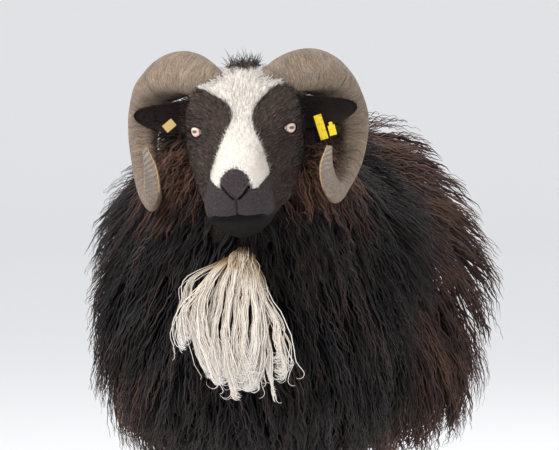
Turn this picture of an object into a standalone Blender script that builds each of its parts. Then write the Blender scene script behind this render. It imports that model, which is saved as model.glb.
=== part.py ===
"""A horned mountain ram standing square, life size, in metres with +Z up.

The ram faces -Y and its left side is +X. Its hooves stand on z = 0.
The trunk (neck and torso) is one bent loft, parted by a thin cut. The head is a loft
along its own axis, which slopes down towards the nose.
"""

import math
import random

import bmesh
import bpy
from mathutils import Matrix, Vector

GAP = 0.0004  # kept between two nodes that meet
SIDES = {"left": 1, "right": -1}  # the ram's own

# Head: its axis runs from the nose back and up, and the eyes fix its place.
EYE_MIDDLE = Vector((0.035, -0.56, 0.68))
HEAD_PITCH = math.radians(31)
HEAD_YAW = math.radians(7)
HEAD_ROLL = math.radians(2.5)
EYE_A, EYE_U, EYE_V = 0.126, 0.0515, 0.020
EYE_RADIUS = 0.0145
EYE_TURN = math.radians(40)  # from straight ahead towards the side

# Head stations along its axis: distance back from the nose, top, edge of the nose bone or brow,
# widest point, edge of the jaw, bottom. Pairs are half width and height.
HEAD_STATIONS = (
    (0.006, 0.020, (0.021, 0.011), (0.034, -0.020), (0.028, -0.052), -0.070),
    (0.030, 0.031, (0.025, 0.019), (0.042, -0.027), (0.035, -0.065), -0.088),
    (0.055, 0.039, (0.025, 0.027), (0.042, -0.026), (0.040, -0.066), -0.092),
    (0.085, 0.047, (0.031, 0.036), (0.048, -0.018), (0.049, -0.066), -0.093),
    (0.110, 0.053, (0.043, 0.043), (0.0575, 0.004), (0.055, -0.071), -0.098),
    (0.135, 0.058, (0.058, 0.045), (0.0705, 0.012), (0.061, -0.073), -0.104),
    (0.165, 0.064, (0.057, 0.050), (0.0675, 0.010), (0.063, -0.074), -0.110),
    (0.195, 0.067, (0.050, 0.050), (0.060, 0.000), (0.060, -0.068), -0.104),
    (0.220, 0.056, (0.044, 0.042), (0.053, -0.005), (0.050, -0.055), -0.086),
)
NOSE_ROUND = 0.020  # length over which the muzzle rounds off in front
CHIN_BACK = 0.35  # how far the chin lies behind the lip, as a share of its drop
MUZZLE_SWING = -0.008  # the nose lies a little to the ram's right of the brow's middle
HEAD_END = 0.238

# Trunk stations from the rump to the poll. Each is the centre of the section at its widest,
# then (half width, height above, height below) of the flesh, and the same out to the coat's tips.
TRUNK_STATIONS = (
    ((0.000, 0.400, 0.500), (0.030, 0.040, 0.050), (0.105, 0.105, 0.140)),
    ((0.000, 0.365, 0.490), (0.085, 0.100, 0.110), (0.195, 0.190, 0.250)),
    ((0.000, 0.280, 0.460), (0.125, 0.165, 0.120), (0.252, 0.250, 0.265)),
    ((0.000, 0.150, 0.425), (0.150, 0.205, 0.105), (0.285, 0.300, 0.235)),
    ((0.000, 0.010, 0.415), (0.160, 0.215, 0.095), (0.286, 0.312, 0.228)),
    ((0.000, -0.120, 0.430), (0.150, 0.205, 0.105), (0.254, 0.295, 0.240)),
    ((0.000, -0.220, 0.455), (0.138, 0.195, 0.120), (0.231, 0.280, 0.262)),
    ((0.002, -0.300, 0.490), (0.125, 0.180, 0.140), (0.215, 0.260, 0.282)),
    ((0.012, -0.365, 0.545), (0.105, 0.140, 0.130), (0.180, 0.200, 0.222)),
    ((0.022, -0.420, 0.600), (0.090, 0.095, 0.095), (0.148, 0.135, 0.155)),
    ((0.029, -0.465, 0.645), (0.078, 0.080, 0.070), (0.124, 0.108, 0.112)),
    ((0.033, -0.500, 0.672), (0.070, 0.062, 0.055), (0.104, 0.084, 0.080)),
)
FLESH_ROUND = 2.0  # how square a section is: 2 is an ellipse
COAT_ROUND_ABOVE, COAT_ROUND_BELOW = 1.7, 2.8
RUMP_COAT = 0.045  # from the last station back to the tips of the coat
PARTING = 0.66  # share of the trunk's length at which neck and torso meet
PARTING_GAP = 0.0012  # half the gap between them, as a share of the length
CORE_DEPTH = 0.42  # how far the solid core reaches towards the tips

# Locks of the fleece: rows round the trunk, in degrees from the spine, and columns along it.
LOCK_ROWS = (10, 42, 74, 106, 138, 168)
LOCK_PITCH = 0.083
LOCK_LENGTH, LOCK_WIDTH, LOCK_THICK = 0.205, 0.094, 0.020
LOCK_RINGS = ((0.0, 0.55, 0.80), (0.36, 1.0, 1.0), (0.74, 0.70, 0.70))
LOCK_ROOT_DEPTH = 0.34
LOCK_BOW = 1.3  # 1 is a straight rise from the core to the tips
LOCK_EDGE_GROWTH, LOCK_TIP_GROWTH = 6, 9  # how much further the sharp edges and tip move in a grown copy
LOCK_LAST = 0.93  # share of the trunk's length where the last locks grow
LOCK_SHAKE = 0.10  # how far places and lengths vary
NECK_FINER = 0.50  # how much smaller the locks are at the poll

# Horns: a coil seen from the side. Each leaves the skull upwards and out, passes back, down
# and forwards round the ear, and ends beside the cheek.
HORN_CENTRE_BACK, HORN_CENTRE_DOWN = 0.050, 0.008  # from the middle of the eyes
HORN_COIL = 0.077
HORN_FROM = math.radians(66)
HORN_TO = {"left": math.radians(346), "right": math.radians(352)}
HORN_ROOT_SHARE = 0.17  # of the length, over which it rises out of the skull into the coil
HORN_ROOT_DEPTH = 0.030
HORN_PLACES = (0.0, 0.05, 0.12, 0.20, 0.29, 0.38, 0.50, 0.63, 0.81, 0.92, 1.0)
HORN_OUT = {
    "left": (0.024, 0.052, 0.085, 0.111, 0.127, 0.1355, 0.130, 0.115, 0.1055, 0.1015, 0.107),
    "right": (0.024, 0.050, 0.077, 0.112, 0.1285, 0.1355, 0.134, 0.1265, 0.119, 0.117, 0.1225),
}
# Half sizes in the coil's plane, and across it.
HORN_DEPTH = (0.020, 0.026, 0.0285, 0.0275, 0.0245, 0.0215, 0.0185, 0.0155, 0.0125, 0.0100, 0.0035)
HORN_THICK = (0.019, 0.024, 0.0275, 0.0255, 0.0220, 0.0185, 0.0165, 0.0150, 0.0110, 0.0085, 0.0035)

EAR_ROOT_U, EAR_ROOT_BACK, EAR_ROOT_UP = 0.054, 0.044, 0.024
EAR_LENGTH, EAR_HALF_WIDTH, EAR_THICK = 0.088, 0.0215, 0.0035
EAR_BACK, EAR_DROP, EAR_SAG = 0.018, 0.003, 0.0045  # how far it leans back and down, and bends

LID_HALF_WIDTH, LID_HALF_HEIGHT = 0.0125, 0.0095  # the opening between the lids
LID_THICK = 0.0026
MOUTH_CORNER_A, MOUTH_FRONT_V, MOUTH_CORNER_V = 0.050, -0.033, -0.047
NOSTRIL_A = 0.006

# Ear tags: side, up from the eyes, out from the middle, length, width, lean in degrees, and how
# far above its middle each is pinned through the ear.
TAGS = {
    "ear_tag_left_bar": (1, -0.003, 0.0955, 0.032, 0.010, 15, 0.011),
    "ear_tag_left_button": (1, -0.0075, 0.1095, 0.013, 0.009, 12, 0.0095),
    "ear_tag_right": (-1, 0.0072, 0.0958, 0.015, 0.011, 52, 0.003),
}
TAG_THICK, TAG_STEM, TAG_NECK = 0.0022, 0.0024, 0.0045

# Throat tuft, from its root under the jaw to its tips:
# height, across, place along the body, half width, half depth.
TUFT_STATIONS = (
    (0.552, 0.026, -0.552, 0.017, 0.012),
    (0.520, 0.025, -0.562, 0.032, 0.019),
    (0.465, 0.022, -0.562, 0.055, 0.022),
    (0.410, 0.018, -0.556, 0.073, 0.020),
    (0.370, 0.018, -0.548, 0.066, 0.016),
    (0.345, 0.022, -0.544, 0.030, 0.010),
)

TUFT_LOW = 0.335  # height of its lowest tips

# Legs: half the distance between a pair, and stations down each one:
# height, place along the body, half width, half depth.
FORE_SPREAD, HIND_SPREAD = 0.088, 0.098
FORE_STATIONS = (
    (0.400, -0.215, 0.040, 0.058),
    (0.340, -0.222, 0.038, 0.046),
    (0.290, -0.232, 0.030, 0.034),
    (0.245, -0.240, 0.0235, 0.026),
    (0.220, -0.243, 0.0245, 0.0265),
    (0.190, -0.242, 0.0190, 0.0200),
    (0.140, -0.240, 0.0150, 0.0165),
    (0.100, -0.240, 0.0170, 0.0190),
    (0.082, -0.240, 0.0200, 0.0220),
    (0.062, -0.247, 0.0185, 0.0190),
    (0.043, -0.256, 0.0225, 0.0225),
)
HIND_STATIONS = (
    (0.430, 0.245, 0.046, 0.085),
    (0.360, 0.250, 0.042, 0.072),
    (0.305, 0.275, 0.033, 0.050),
    (0.265, 0.298, 0.0250, 0.0350),
    (0.238, 0.307, 0.0225, 0.0300),
    (0.205, 0.300, 0.0190, 0.0235),
    (0.150, 0.288, 0.0155, 0.0180),
    (0.108, 0.280, 0.0170, 0.0190),
    (0.086, 0.277, 0.0200, 0.0220),
    (0.064, 0.269, 0.0185, 0.0190),
    (0.043, 0.260, 0.0225, 0.0225),
)
HOOF_HEIGHT = 0.0425
HOOF_HALF_LENGTH, HOOF_HALF_WIDTH = 0.027, 0.0115

TAIL_ROOT = Vector((0.0, 0.405, 0.560))
TAIL_LENGTH = 0.300
TAIL_BACK = 0.045  # how far it stands out behind its root
TAIL_COAT = 0.024


def material(name, colour, roughness, metallic=0.0):
    made = bpy.data.materials.new(name)
    made.use_nodes = True
    shader = made.node_tree.nodes["Principled BSDF"]
    shader.inputs["Base Color"].default_value = (*colour, 1.0)
    shader.inputs["Roughness"].default_value = roughness
    shader.inputs["Metallic"].default_value = metallic
    made.diffuse_color = (*colour, 1.0)
    return made


def rise(value, start=0.0, end=1.0):
    """0 before start and 1 after end, with a smooth step between them."""
    share = min(1.0, max(0.0, (value - start) / (end - start)))
    return share * share * (3 - 2 * share)


def through(places, values, at):
    """The value at one place on a smooth curve through values at rising places."""
    last = len(places) - 2
    i = max(0, min(last, sum(place <= at for place in places) - 1))
    width = places[i + 1] - places[i]
    t = (at - places[i]) / width

    def slope(k):
        low, high = max(0, k - 1), min(len(places) - 1, k + 1)
        return (values[high] - values[low]) / (places[high] - places[low]) * width

    a, b = values[i], values[i + 1]
    return (
        a * (2 * t**3 - 3 * t**2 + 1) + slope(i) * (t**3 - 2 * t**2 + t)
        + b * (3 * t**2 - 2 * t**3) + slope(i + 1) * (t**3 - t**2)
    )  # fmt: skip


def closed_curve(points, count):
    """count points on a smooth closed curve through the given ones."""
    size = len(points)
    made = []
    for k in range(count):
        place = k * size / count
        i, t = int(place), place % 1
        before, a, b, after = (points[(i + j) % size] for j in (-1, 0, 1, 2))
        made.append(
            (
                a * 2 + (b - before) * t + (before * 2 - a * 5 + b * 4 - after) * t**2
                + (a * 3 - before - b * 3 + after) * t**3
            ) / 2
        )  # fmt: skip
    return made


def mesh_object(name, bm, finish):
    bmesh.ops.triangulate(bm, faces=bm.faces, quad_method="FIXED")
    bmesh.ops.recalc_face_normals(bm, faces=bm.faces)
    mesh = bpy.data.meshes.new(name)
    bm.to_mesh(mesh)
    bm.free()
    mesh.materials.append(finish)
    mesh.shade_smooth()
    mesh.set_sharp_from_angle(angle=math.radians(50))
    made = bpy.data.objects.new(name, mesh)
    bpy.context.scene.collection.objects.link(made)
    return made


def loft(name, rings, finish, start=None, end=None, closed=False):
    """A closed skin over rings of points. start and end are points, or None for a flat end."""
    bm = bmesh.new()
    rows = [[bm.verts.new(point) for point in ring] for ring in rings[: len(rings) - closed]]
    if closed:
        rows.append(rows[0])
    for row, following in zip(rows, rows[1:]):
        for i, corner in enumerate(row):
            nxt = (i + 1) % len(row)
            bm.faces.new((corner, row[nxt], following[nxt], following[i]))
    for row, tip in () if closed else ((rows[0], start), (rows[-1], end)):
        if tip is None:
            bm.faces.new(row)
            continue
        point = bm.verts.new(tip)
        for i, corner in enumerate(row):
            bm.faces.new((corner, row[(i + 1) % len(row)], point))
    return mesh_object(name, bm, finish)


def combine(target, others, operation):
    """Applies one Boolean of target with a collection of closed objects, which are then removed."""
    collection = bpy.data.collections.new("pieces")
    bpy.context.scene.collection.children.link(collection)
    for other in others:
        collection.objects.link(other)
    boolean = target.modifiers.new("join", "BOOLEAN")
    boolean.operation = operation
    boolean.operand_type = "COLLECTION"
    boolean.collection = collection
    boolean.solver = "MANIFOLD"
    graph = bpy.context.evaluated_depsgraph_get()
    mesh = bpy.data.meshes.new_from_object(target.evaluated_get(graph))
    target.modifiers.remove(boolean)
    target.data = mesh
    for other in others:
        bpy.data.objects.remove(other)
    bpy.data.collections.remove(collection)
    return target


def inflated(source, by=GAP):
    """A copy of a closed object, with its skin moved outwards."""
    bm = bmesh.new()
    bm.from_mesh(source.data)
    bm.normal_update()
    moves = [vert.normal * by * min(4.0, vert.calc_shell_factor()) for vert in bm.verts]
    for vert, move in zip(bm.verts, moves):
        vert.co += move
    return mesh_object("grown", bm, source.data.materials[0])


def keep_largest(target):
    """Leaves only the largest closed surface of an object's mesh."""
    bm = bmesh.new()
    bm.from_mesh(target.data)
    bm.faces.ensure_lookup_table()
    left, shells = set(bm.faces), []
    while left:
        shell, edge = set(), [left.pop()]
        while edge:
            face = edge.pop()
            shell.add(face)
            for side in face.edges:
                for other in side.link_faces:
                    if other in left:
                        left.remove(other)
                        edge.append(other)
        shells.append(shell)
    largest = max(shells, key=len)
    bmesh.ops.delete(bm, geom=[f for f in bm.faces if f not in largest], context="FACES")
    bm.to_mesh(target.data)
    bm.free()
    return target


def head_place(a, u, v):
    """A point given along, across and above the head's axis, in the part's frame."""
    swing = MUZZLE_SWING * (1 - rise(a, 0.0, EYE_A))
    return HEAD_FRAME @ Vector((u + swing, a, v))


def head_frame():
    """Columns: across to the ram's left, back along the axis, and up from it."""
    turn = Matrix.Rotation(HEAD_YAW, 4, "Z") @ Matrix.Rotation(-HEAD_ROLL, 4, "Y")
    frame = Matrix.Translation(EYE_MIDDLE) @ turn @ Matrix.Rotation(HEAD_PITCH, 4, "X")
    return frame @ Matrix.Translation((0.0, -EYE_A, -EYE_V))


HEAD_FRAME = head_frame()


def head_section(a, sides):
    """The head's outline at one station, as pairs of half width and height."""
    places = [station[0] for station in HEAD_STATIONS]
    at = min(a, places[-1])

    def value(pick):
        return through(places, [pick(station) for station in HEAD_STATIONS], at)

    half = [Vector((0.0, value(lambda s: s[1])))]
    for k in (2, 3, 4):
        half.append(Vector((value(lambda s: s[k][0]), value(lambda s: s[k][1]))))
    half.append(Vector((0.0, value(lambda s: s[5]))))
    mirrored = [Vector((-p.x, p.y)) for p in reversed(half[1:-1])]
    return closed_curve(half + mirrored, sides)


def head_rings(stations, sides):
    """Rings of the head, rounded off at both ends."""
    for a in stations:
        front = math.sqrt(max(0.0, 1 - (1 - min(1.0, a / NOSE_ROUND)) ** 2.2))
        back = math.sqrt(max(0.0, 1 - rise(a, HEAD_STATIONS[-1][0], HEAD_END + 0.004) ** 2))
        outline = head_section(a, sides)
        middle = sum((p.y for p in outline), 0.0) / len(outline)
        centre = Vector((0.0, middle))
        ring = []
        for point in outline:
            out = point - centre
            placed = centre + out * front * back
            drop = max(0.0, middle - placed.y) * rise(0.06 - a, 0.0, 0.06)
            ring.append(head_place(a + CHIN_BACK * drop, placed.x, placed.y))
        yield ring


def head_loft(name, finish):
    ahead = [NOSE_ROUND * share for share in (0.015, 0.10, 0.28, 0.55)]
    stations = ahead + [NOSE_ROUND + 0.0150 * k for k in range(15)]
    rings = list(head_rings(stations, 20))
    nose = head_place(0.0, 0.0, -0.017)
    nape = head_place(HEAD_END, 0.0, -0.01)
    return loft(name, rings, finish, start=nose, end=nape)


def eye_centre(side):
    return head_place(EYE_A, side * EYE_U, EYE_V)


def eye_frame(side):
    """Columns: towards the nose's side, the gaze, and up."""
    gaze = HEAD_FRAME.to_3x3() @ Vector((side * math.sin(EYE_TURN), -math.cos(EYE_TURN), 0.10))
    gaze.normalize()
    up = (HEAD_FRAME.to_3x3() @ Vector((0.0, 0.0, 1.0)))
    across = gaze.cross(up).normalized()
    up = across.cross(gaze)
    frame = Matrix((across, gaze, up)).transposed().to_4x4()
    return Matrix.Translation(eye_centre(side)) @ frame


def bent_tube(name, line, radius, sides, facing, finish, closed=False):
    """A tube along a line that never runs along facing, of one radius or of one for each point."""
    count = len(line)
    radii = [radius] * count if isinstance(radius, float) else radius
    rings = []
    for k, here in enumerate(line):
        after = line[(k + 1) % count] if closed else line[min(count - 1, k + 1)]
        before = line[k - 1] if closed or k else here
        along = (after - before).normalized()
        side = along.cross(facing).normalized()
        up = side.cross(along)
        turns = [2 * math.pi * i / sides for i in range(sides)]
        rings.append([here + (side * math.cos(t) + up * math.sin(t)) * radii[k] for t in turns])
    if closed:
        rings.append(rings[0])
    return loft(name, rings, finish, closed=closed)


def ball(name, centre, radius, finish):
    bm = bmesh.new()
    bmesh.ops.create_uvsphere(bm, u_segments=14, v_segments=9, radius=radius)
    bmesh.ops.translate(bm, vec=centre, verts=bm.verts)
    return mesh_object(name, bm, finish)


def level_frame():
    """The eyes' middle, with the head's turn and roll but not its slope."""
    turn = Matrix.Rotation(HEAD_YAW, 4, "Z") @ Matrix.Rotation(-HEAD_ROLL, 4, "Y")
    return Matrix.Translation(EYE_MIDDLE) @ turn


def horn_line(side_name, share):
    """A point on the middle line of a horn, in the part's frame."""
    side = SIDES[side_name]
    angle = HORN_FROM + (HORN_TO[side_name] - HORN_FROM) * share
    back = HORN_CENTRE_BACK - HORN_COIL * math.cos(angle)
    up = HORN_COIL * math.sin(angle) - HORN_CENTRE_DOWN
    up -= HORN_ROOT_DEPTH * (1 - min(1.0, share / HORN_ROOT_SHARE)) ** 2
    return level_frame() @ Vector((side * through(HORN_PLACES, HORN_OUT[side_name], share), back, up))


def horn(side_name, finish):
    steps, sides = 26, 10
    rings = []
    axis = (level_frame().to_3x3() @ Vector((1.0, 0.0, 0.0))) * SIDES[side_name]
    for k in range(steps):
        share = k / steps
        here = horn_line(side_name, share)
        along = (horn_line(side_name, min(1.0, share + 0.012)) - here).normalized()
        inward = along.cross(axis).normalized()
        across = inward.cross(along)
        depth, thick = (through(HORN_PLACES, sizes, share) for sizes in (HORN_DEPTH, HORN_THICK))
        ring = []
        for i in range(sides):
            angle = 2 * math.pi * i / sides
            flat = 1 - 0.10 * math.cos(3 * angle)
            out = inward * depth * math.cos(angle) + across * thick * math.sin(angle)
            ring.append(here + out * flat)
        rings.append(ring)
    return loft("horn_" + side_name, rings, finish, end=horn_line(side_name, 1.0))


def ear(name, side, finish):
    """A cupped leaf that stands out sideways, with its hollow side facing ahead and down."""
    level = level_frame()
    rows, columns = 8, 6
    front, back = [], []
    for i in range(rows + 1):
        along = i / rows
        pointed = math.sqrt(max(0.0, 1 - along**2.6))
        width = EAR_HALF_WIDTH * (0.50 + 0.50 * rise(along, 0.0, 0.40)) * pointed
        cup = 0.013 * (1 - 0.75 * along)
        outer, inner = [], []
        for j in range(columns + 1):
            across = 2 * j / columns - 1
            lift = across * width
            bow = cup * (1 - across * across)
            x = EAR_ROOT_U + EAR_LENGTH * along
            y = EAR_ROOT_BACK + EAR_BACK * along + bow - 0.010 * lift / EAR_HALF_WIDTH
            z = EAR_ROOT_UP - EAR_DROP - EAR_SAG * math.sin(math.pi * along) + lift
            half = (EAR_THICK / 2) * (1 - 0.5 * abs(across) ** 2) * (1 - 0.55 * along)
            inner.append(level @ Vector((side * x, y - half, z)))
            outer.append(level @ Vector((side * x, y + half, z)))
        front.append(inner)
        back.append(outer)
    rings = [inner + list(reversed(outer)) for inner, outer in zip(front[:-1], back[:-1])]
    back, up = EAR_ROOT_BACK + EAR_BACK + EAR_DROP, EAR_ROOT_UP - EAR_DROP
    tip = Vector((side * (EAR_ROOT_U + EAR_LENGTH), back, up))
    return loft(name, rings, finish, end=level @ tip)


def trunk_frame(share):
    """Centre, directions and sizes of the trunk's section at a share of its length, rump to poll."""
    places = [k / (len(TRUNK_STATIONS) - 1) for k in range(len(TRUNK_STATIONS))]

    def centre_at(at):
        at = min(1.0, max(0.0, at))
        return Vector([through(places, [s[0][axis] for s in TRUNK_STATIONS], at) for axis in range(3)])

    centre = centre_at(share)
    along = (centre_at(share + 0.02) - centre_at(share - 0.02)).normalized()
    up = Vector((1.0, 0.0, 0.0)).cross(-along).normalized()
    across = along.cross(up).normalized() * -1

    def sizes(k):
        return [through(places, [s[k][i] for s in TRUNK_STATIONS], share) for i in range(3)]

    return centre, across, up, sizes(1), sizes(2)


def trunk_point(share, angle, depth):
    """A point on the trunk. angle is 0 on top and grows to the left.

    depth is 0 on the flesh and 1 at the tips of the coat.
    """
    centre, across, up, flesh, coat = trunk_frame(share)
    sideways, height = math.sin(angle), math.cos(angle)
    point = Vector()
    for sizes, part, above, below in (
        (flesh, 1 - depth, FLESH_ROUND, FLESH_ROUND),
        (coat, depth, COAT_ROUND_ABOVE, COAT_ROUND_BELOW),
    ):  # fmt: skip
        power = 2 / (above if height > 0 else below)
        tall = sizes[1] if height > 0 else sizes[2]
        wide = across * sizes[0] * math.copysign(abs(sideways) ** power, sideways)
        point += (wide + up * tall * math.copysign(abs(height) ** power, height)) * part
    return centre + point


def trunk(name, depth, finish, start=0.0, end=1.0):
    """A length of the trunk, domed where it ends at the rump or the poll, and flat where it is cut."""
    sides, steps = 14, max(5, round(14 * (end - start)))
    shares = [start + (end - start) * k / steps for k in range(steps + 1)]
    turns = [2 * math.pi * i / sides for i in range(sides)]
    rings = [[trunk_point(share, turn, depth) for turn in turns] for share in shares]
    rump = trunk_frame(0.0)[0] + Vector((0.0, 0.012 + RUMP_COAT * depth, 0.0))
    poll = trunk_frame(1.0)[0]
    return loft(name, rings, finish, start=None if start > 0 else rump, end=None if end < 1 else poll)


def lie_step(share, angle, depth, length):
    """The next share and angle after a step down along the lie of the wool, which parts at the spine."""
    small = 0.004
    here = trunk_point(share, angle, depth)
    ahead = (trunk_point(min(1.0, share + small), angle, depth) - here) / small
    if share + small > 1.0:
        ahead = (here - trunk_point(share - small, angle, depth)) / small
    around = (trunk_point(share, angle + small, depth) - here) / small
    outward = math.copysign(0.6 * max(0.0, math.cos(angle)), math.sin(angle))
    lie = Vector((outward, 0.30, -1.0)).normalized()
    aa, ab, bb = ahead.dot(ahead), ahead.dot(around), around.dot(around)
    la, lb = lie.dot(ahead), lie.dot(around)
    det = aa * bb - ab * ab
    step_share, step_angle = (la * bb - lb * ab) / det, (lb * aa - la * ab) / det
    travel = (ahead * step_share + around * step_angle).length
    scale = length * min(1.0, 1.8 * travel) / max(travel, 1e-6)
    return min(0.995, max(0.004, share + step_share * scale)), angle + step_angle * scale


def flat_lock(path, outs, width, thick, finish, grow=0.0):
    """One flat, tapered lock along a path, or a copy grown on all sides.

    outs are the directions that its ridge faces. A lock that twists to the left needs a negative
    width, so that its skin is split into triangles along the outer diagonals.
    """
    last = len(path) - 1
    rings = []
    for along, wide, deep in LOCK_RINGS:
        k = round(along * last)
        travel = (path[min(last, k + 1)] - path[max(0, k - 1)]).normalized()
        across = travel.cross(outs[k]).normalized()
        up = across.cross(travel)
        low = path[k] - up * grow - (travel * grow if k == 0 else Vector())
        half = across * (width * wide / 2 + math.copysign(LOCK_EDGE_GROWTH * grow, width))
        rings.append([low - half, low + up * (thick * deep + 3 * grow), low + half])
    tip = path[-1] + travel * LOCK_TIP_GROWTH * grow - up * grow
    return loft("lock", rings, finish, end=tip)


def fleece_lock(share, angle, length, width, thick, grow):
    """A lock of the trunk. Its root is sunk in the core and its tip lies at the coat's full depth."""
    steps = 12
    path, outs = [], []
    for k in range(steps + 1):
        depth = LOCK_ROOT_DEPTH + (1 - LOCK_ROOT_DEPTH) * (1 - (1 - k / steps) ** LOCK_BOW)
        point = trunk_point(share, angle, depth)
        path.append(point)
        outs.append(point - trunk_point(share, angle, depth - 0.1))
        share, angle = lie_step(share, angle, depth, length / steps)
    return flat_lock(path, outs, width, thick, WOOL, grow)


def trunk_locks(low, high, grow=0.0):
    """The locks of the fleece whose roots lie between two shares of the trunk."""
    draw = random.Random(7)
    columns = int(1 / LOCK_PITCH)
    for row, degrees in enumerate(LOCK_ROWS):
        for column in range(columns + 1):
            for side in SIDES.values():
                shake = [draw.uniform(-LOCK_SHAKE, LOCK_SHAKE) for _ in range(3)]
                share = (column + 0.30 + 0.5 * (row % 2) + shake[0]) * LOCK_PITCH
                if not low < share <= high:
                    continue
                angle = side * math.radians(degrees + 22 * shake[1])
                finer = 1 - NECK_FINER * rise(share, 0.70, 1.0)
                length = LOCK_LENGTH * finer * (1 + shake[2]) * (1 - 0.25 * rise(degrees, 100, 160))
                width = -side * LOCK_WIDTH * finer
                yield fleece_lock(share, angle, length, width, LOCK_THICK * finer, grow)


def lids(side):
    """The rim of both lids: a ring that is pointed at its corners, lying on the eyeball."""
    frame = eye_frame(side)
    line = []
    for k in range(14):
        angle = 2 * math.pi * k / 14
        across = LID_HALF_WIDTH * math.cos(angle)
        up = LID_HALF_HEIGHT * math.sin(angle)
        out = math.sqrt(EYE_RADIUS**2 - across**2 * 0.75 - up**2) + 0.0004
        line.append(frame @ Vector((across, out, up)))
    return bent_tube("lids", line, LID_THICK, 5, frame.to_3x3().col[1], HAIR, closed=True)


def muzzle_point(angle, height, inset):
    """A point on the muzzle at one height: angle 0 in front, a quarter turn at the mouth's corner."""
    side = math.sin(angle)
    a = MOUTH_CORNER_A * (1 - math.cos(angle)) + inset * math.cos(angle)
    return head_place(a, (0.043 - inset) * side, height)


def mouth_cut():
    """A thin curved wedge that parts the lips."""
    rings = []
    for k in range(13):
        angle = (k - 6) / 6 * math.radians(84)
        height = MOUTH_FRONT_V + (MOUTH_CORNER_V - MOUTH_FRONT_V) * (1 - math.cos(angle))
        inner, outer = muzzle_point(angle, height, 0.010), muzzle_point(angle, height, -0.012)
        up = HEAD_FRAME.to_3x3() @ Vector((0.0, 0.0, 0.0013))
        rings.append([inner, outer + up, outer - up])
    return loft("cut", rings, HAIR)


def nostril_cut(side):
    """A comma-shaped slit: wide and high outside, narrow and low towards the middle."""
    line, radii = [], []
    for k in range(6):
        t = k / 5
        across = 0.0035 + 0.0150 * t
        height = -0.012 + 0.021 * t**1.6
        line.append(head_place(NOSTRIL_A + 0.006 * t - 0.004, side * across, height))
        radii.append(0.0014 + 0.0020 * math.sin(math.pi * min(1.0, 0.25 + 0.65 * t)))
    return bent_tube("cut", line, radii, 6, HEAD_FRAME.to_3x3().col[1], HAIR)


def tag(name):
    """A flat tag in front of the ear, with its stem through the ear and a button behind."""
    side, up, out, length, width, lean, pin_up = TAGS[name]
    share = (out - EAR_ROOT_U) / EAR_LENGTH
    back = EAR_ROOT_BACK + EAR_BACK * share + 0.003
    frame = level_frame() @ Matrix.Translation((side * out, back, up))
    frame = frame @ Matrix.Rotation(math.radians(-lean * side), 4, "Y")

    def plate(size_x, size_y, size_z, place):
        bm = bmesh.new()
        bmesh.ops.create_cube(bm, size=1.0)
        bmesh.ops.scale(bm, vec=(size_x, size_y, size_z), verts=bm.verts)
        bmesh.ops.translate(bm, vec=place, verts=bm.verts)
        bmesh.ops.transform(bm, matrix=frame, verts=bm.verts)
        return mesh_object(name, bm, PLASTIC)

    front = plate(width, TAG_THICK, length, (0.0, -0.012, 0.0))
    neck = plate(TAG_NECK, TAG_THICK * 0.9, pin_up + TAG_STEM, (0.0, -0.012, pin_up / 2))
    stem = plate(TAG_STEM, 0.026, TAG_STEM, (0.0, 0.0005, pin_up))
    button = plate(0.008, TAG_THICK, 0.008, (0.0, 0.0135, pin_up))
    return combine(front, [neck, stem, button], "UNION")


def tuft_place(height, share, ahead):
    """A point in the throat tuft: share is -1 to 1 across it, and ahead is 1 on its front."""
    rising = list(reversed(TUFT_STATIONS))
    heights = [station[0] for station in rising]
    at = max(heights[0], height)
    columns = [[station[k] for station in rising] for k in (1, 2, 3, 4)]
    across, place, width, depth = (through(heights, column, at) for column in columns)
    bulge = math.sqrt(max(0.0, 1 - min(1.0, abs(share)) ** 2))
    return Vector((across + width * share, place - depth * ahead * bulge, height))


def tuft_pieces():
    """A slim core with locks that fan out from its root and curl at their tips."""
    rings = []
    for height, across, place, width, depth in TUFT_STATIONS[:4]:
        turns = [2 * math.pi * k / 10 for k in range(10)]
        x, y, half_x, half_y = across, place, 0.5 * width, 0.6 * depth
        ring = [Vector((x + half_x * math.sin(t), y + half_y * math.cos(t), height)) for t in turns]
        rings.append(ring)
    core = loft("throat_tuft", rings, FLEECE, end=tuft_place(TUFT_STATIONS[4][0], 0.0, 0.0))
    draw = random.Random(11)
    top = TUFT_STATIONS[0][0] - 0.012
    made = []
    for ahead, count, reach in ((1.0, 7, 0.80), (0.1, 8, 1.0), (-0.8, 6, 0.90)):
        for k in range(count):
            share = reach * ((k + 0.5) / count * 2 - 1) + draw.uniform(-0.04, 0.04)
            low = TUFT_LOW + 0.085 * abs(share) ** 2.2 + draw.uniform(0.0, 0.022) + 0.012 * (ahead < 0)
            curl = draw.choice((-1, 1)) * 0.012
            path, outs = [], []
            for step in range(13):
                t = step / 12
                height = top + (low - top) * t
                point = tuft_place(height, share * (0.38 + 0.72 * rise(t, 0.0, 0.7)), ahead)
                point += Vector((curl * rise(t, 0.7, 1.0), -0.006 * rise(t, 0.6, 1.0), 0.0))
                path.append(point)
                outs.append(Vector((0.5 * share, -1.0, 0.0)))
            made.append(flat_lock(path, outs, 0.020, 0.009, FLEECE))
    return core, made


def leg(name, stations, spread, side, finish):
    sides = 12
    rings = []
    for height, place, width, depth in stations:
        ring = []
        for k in range(sides):
            angle = 2 * math.pi * k / sides
            x = side * spread + width * math.sin(angle)
            y = place + depth * math.cos(angle)
            ring.append(Vector((x, y, height)))
        rings.append(ring)
    return loft(name, rings, finish)


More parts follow.
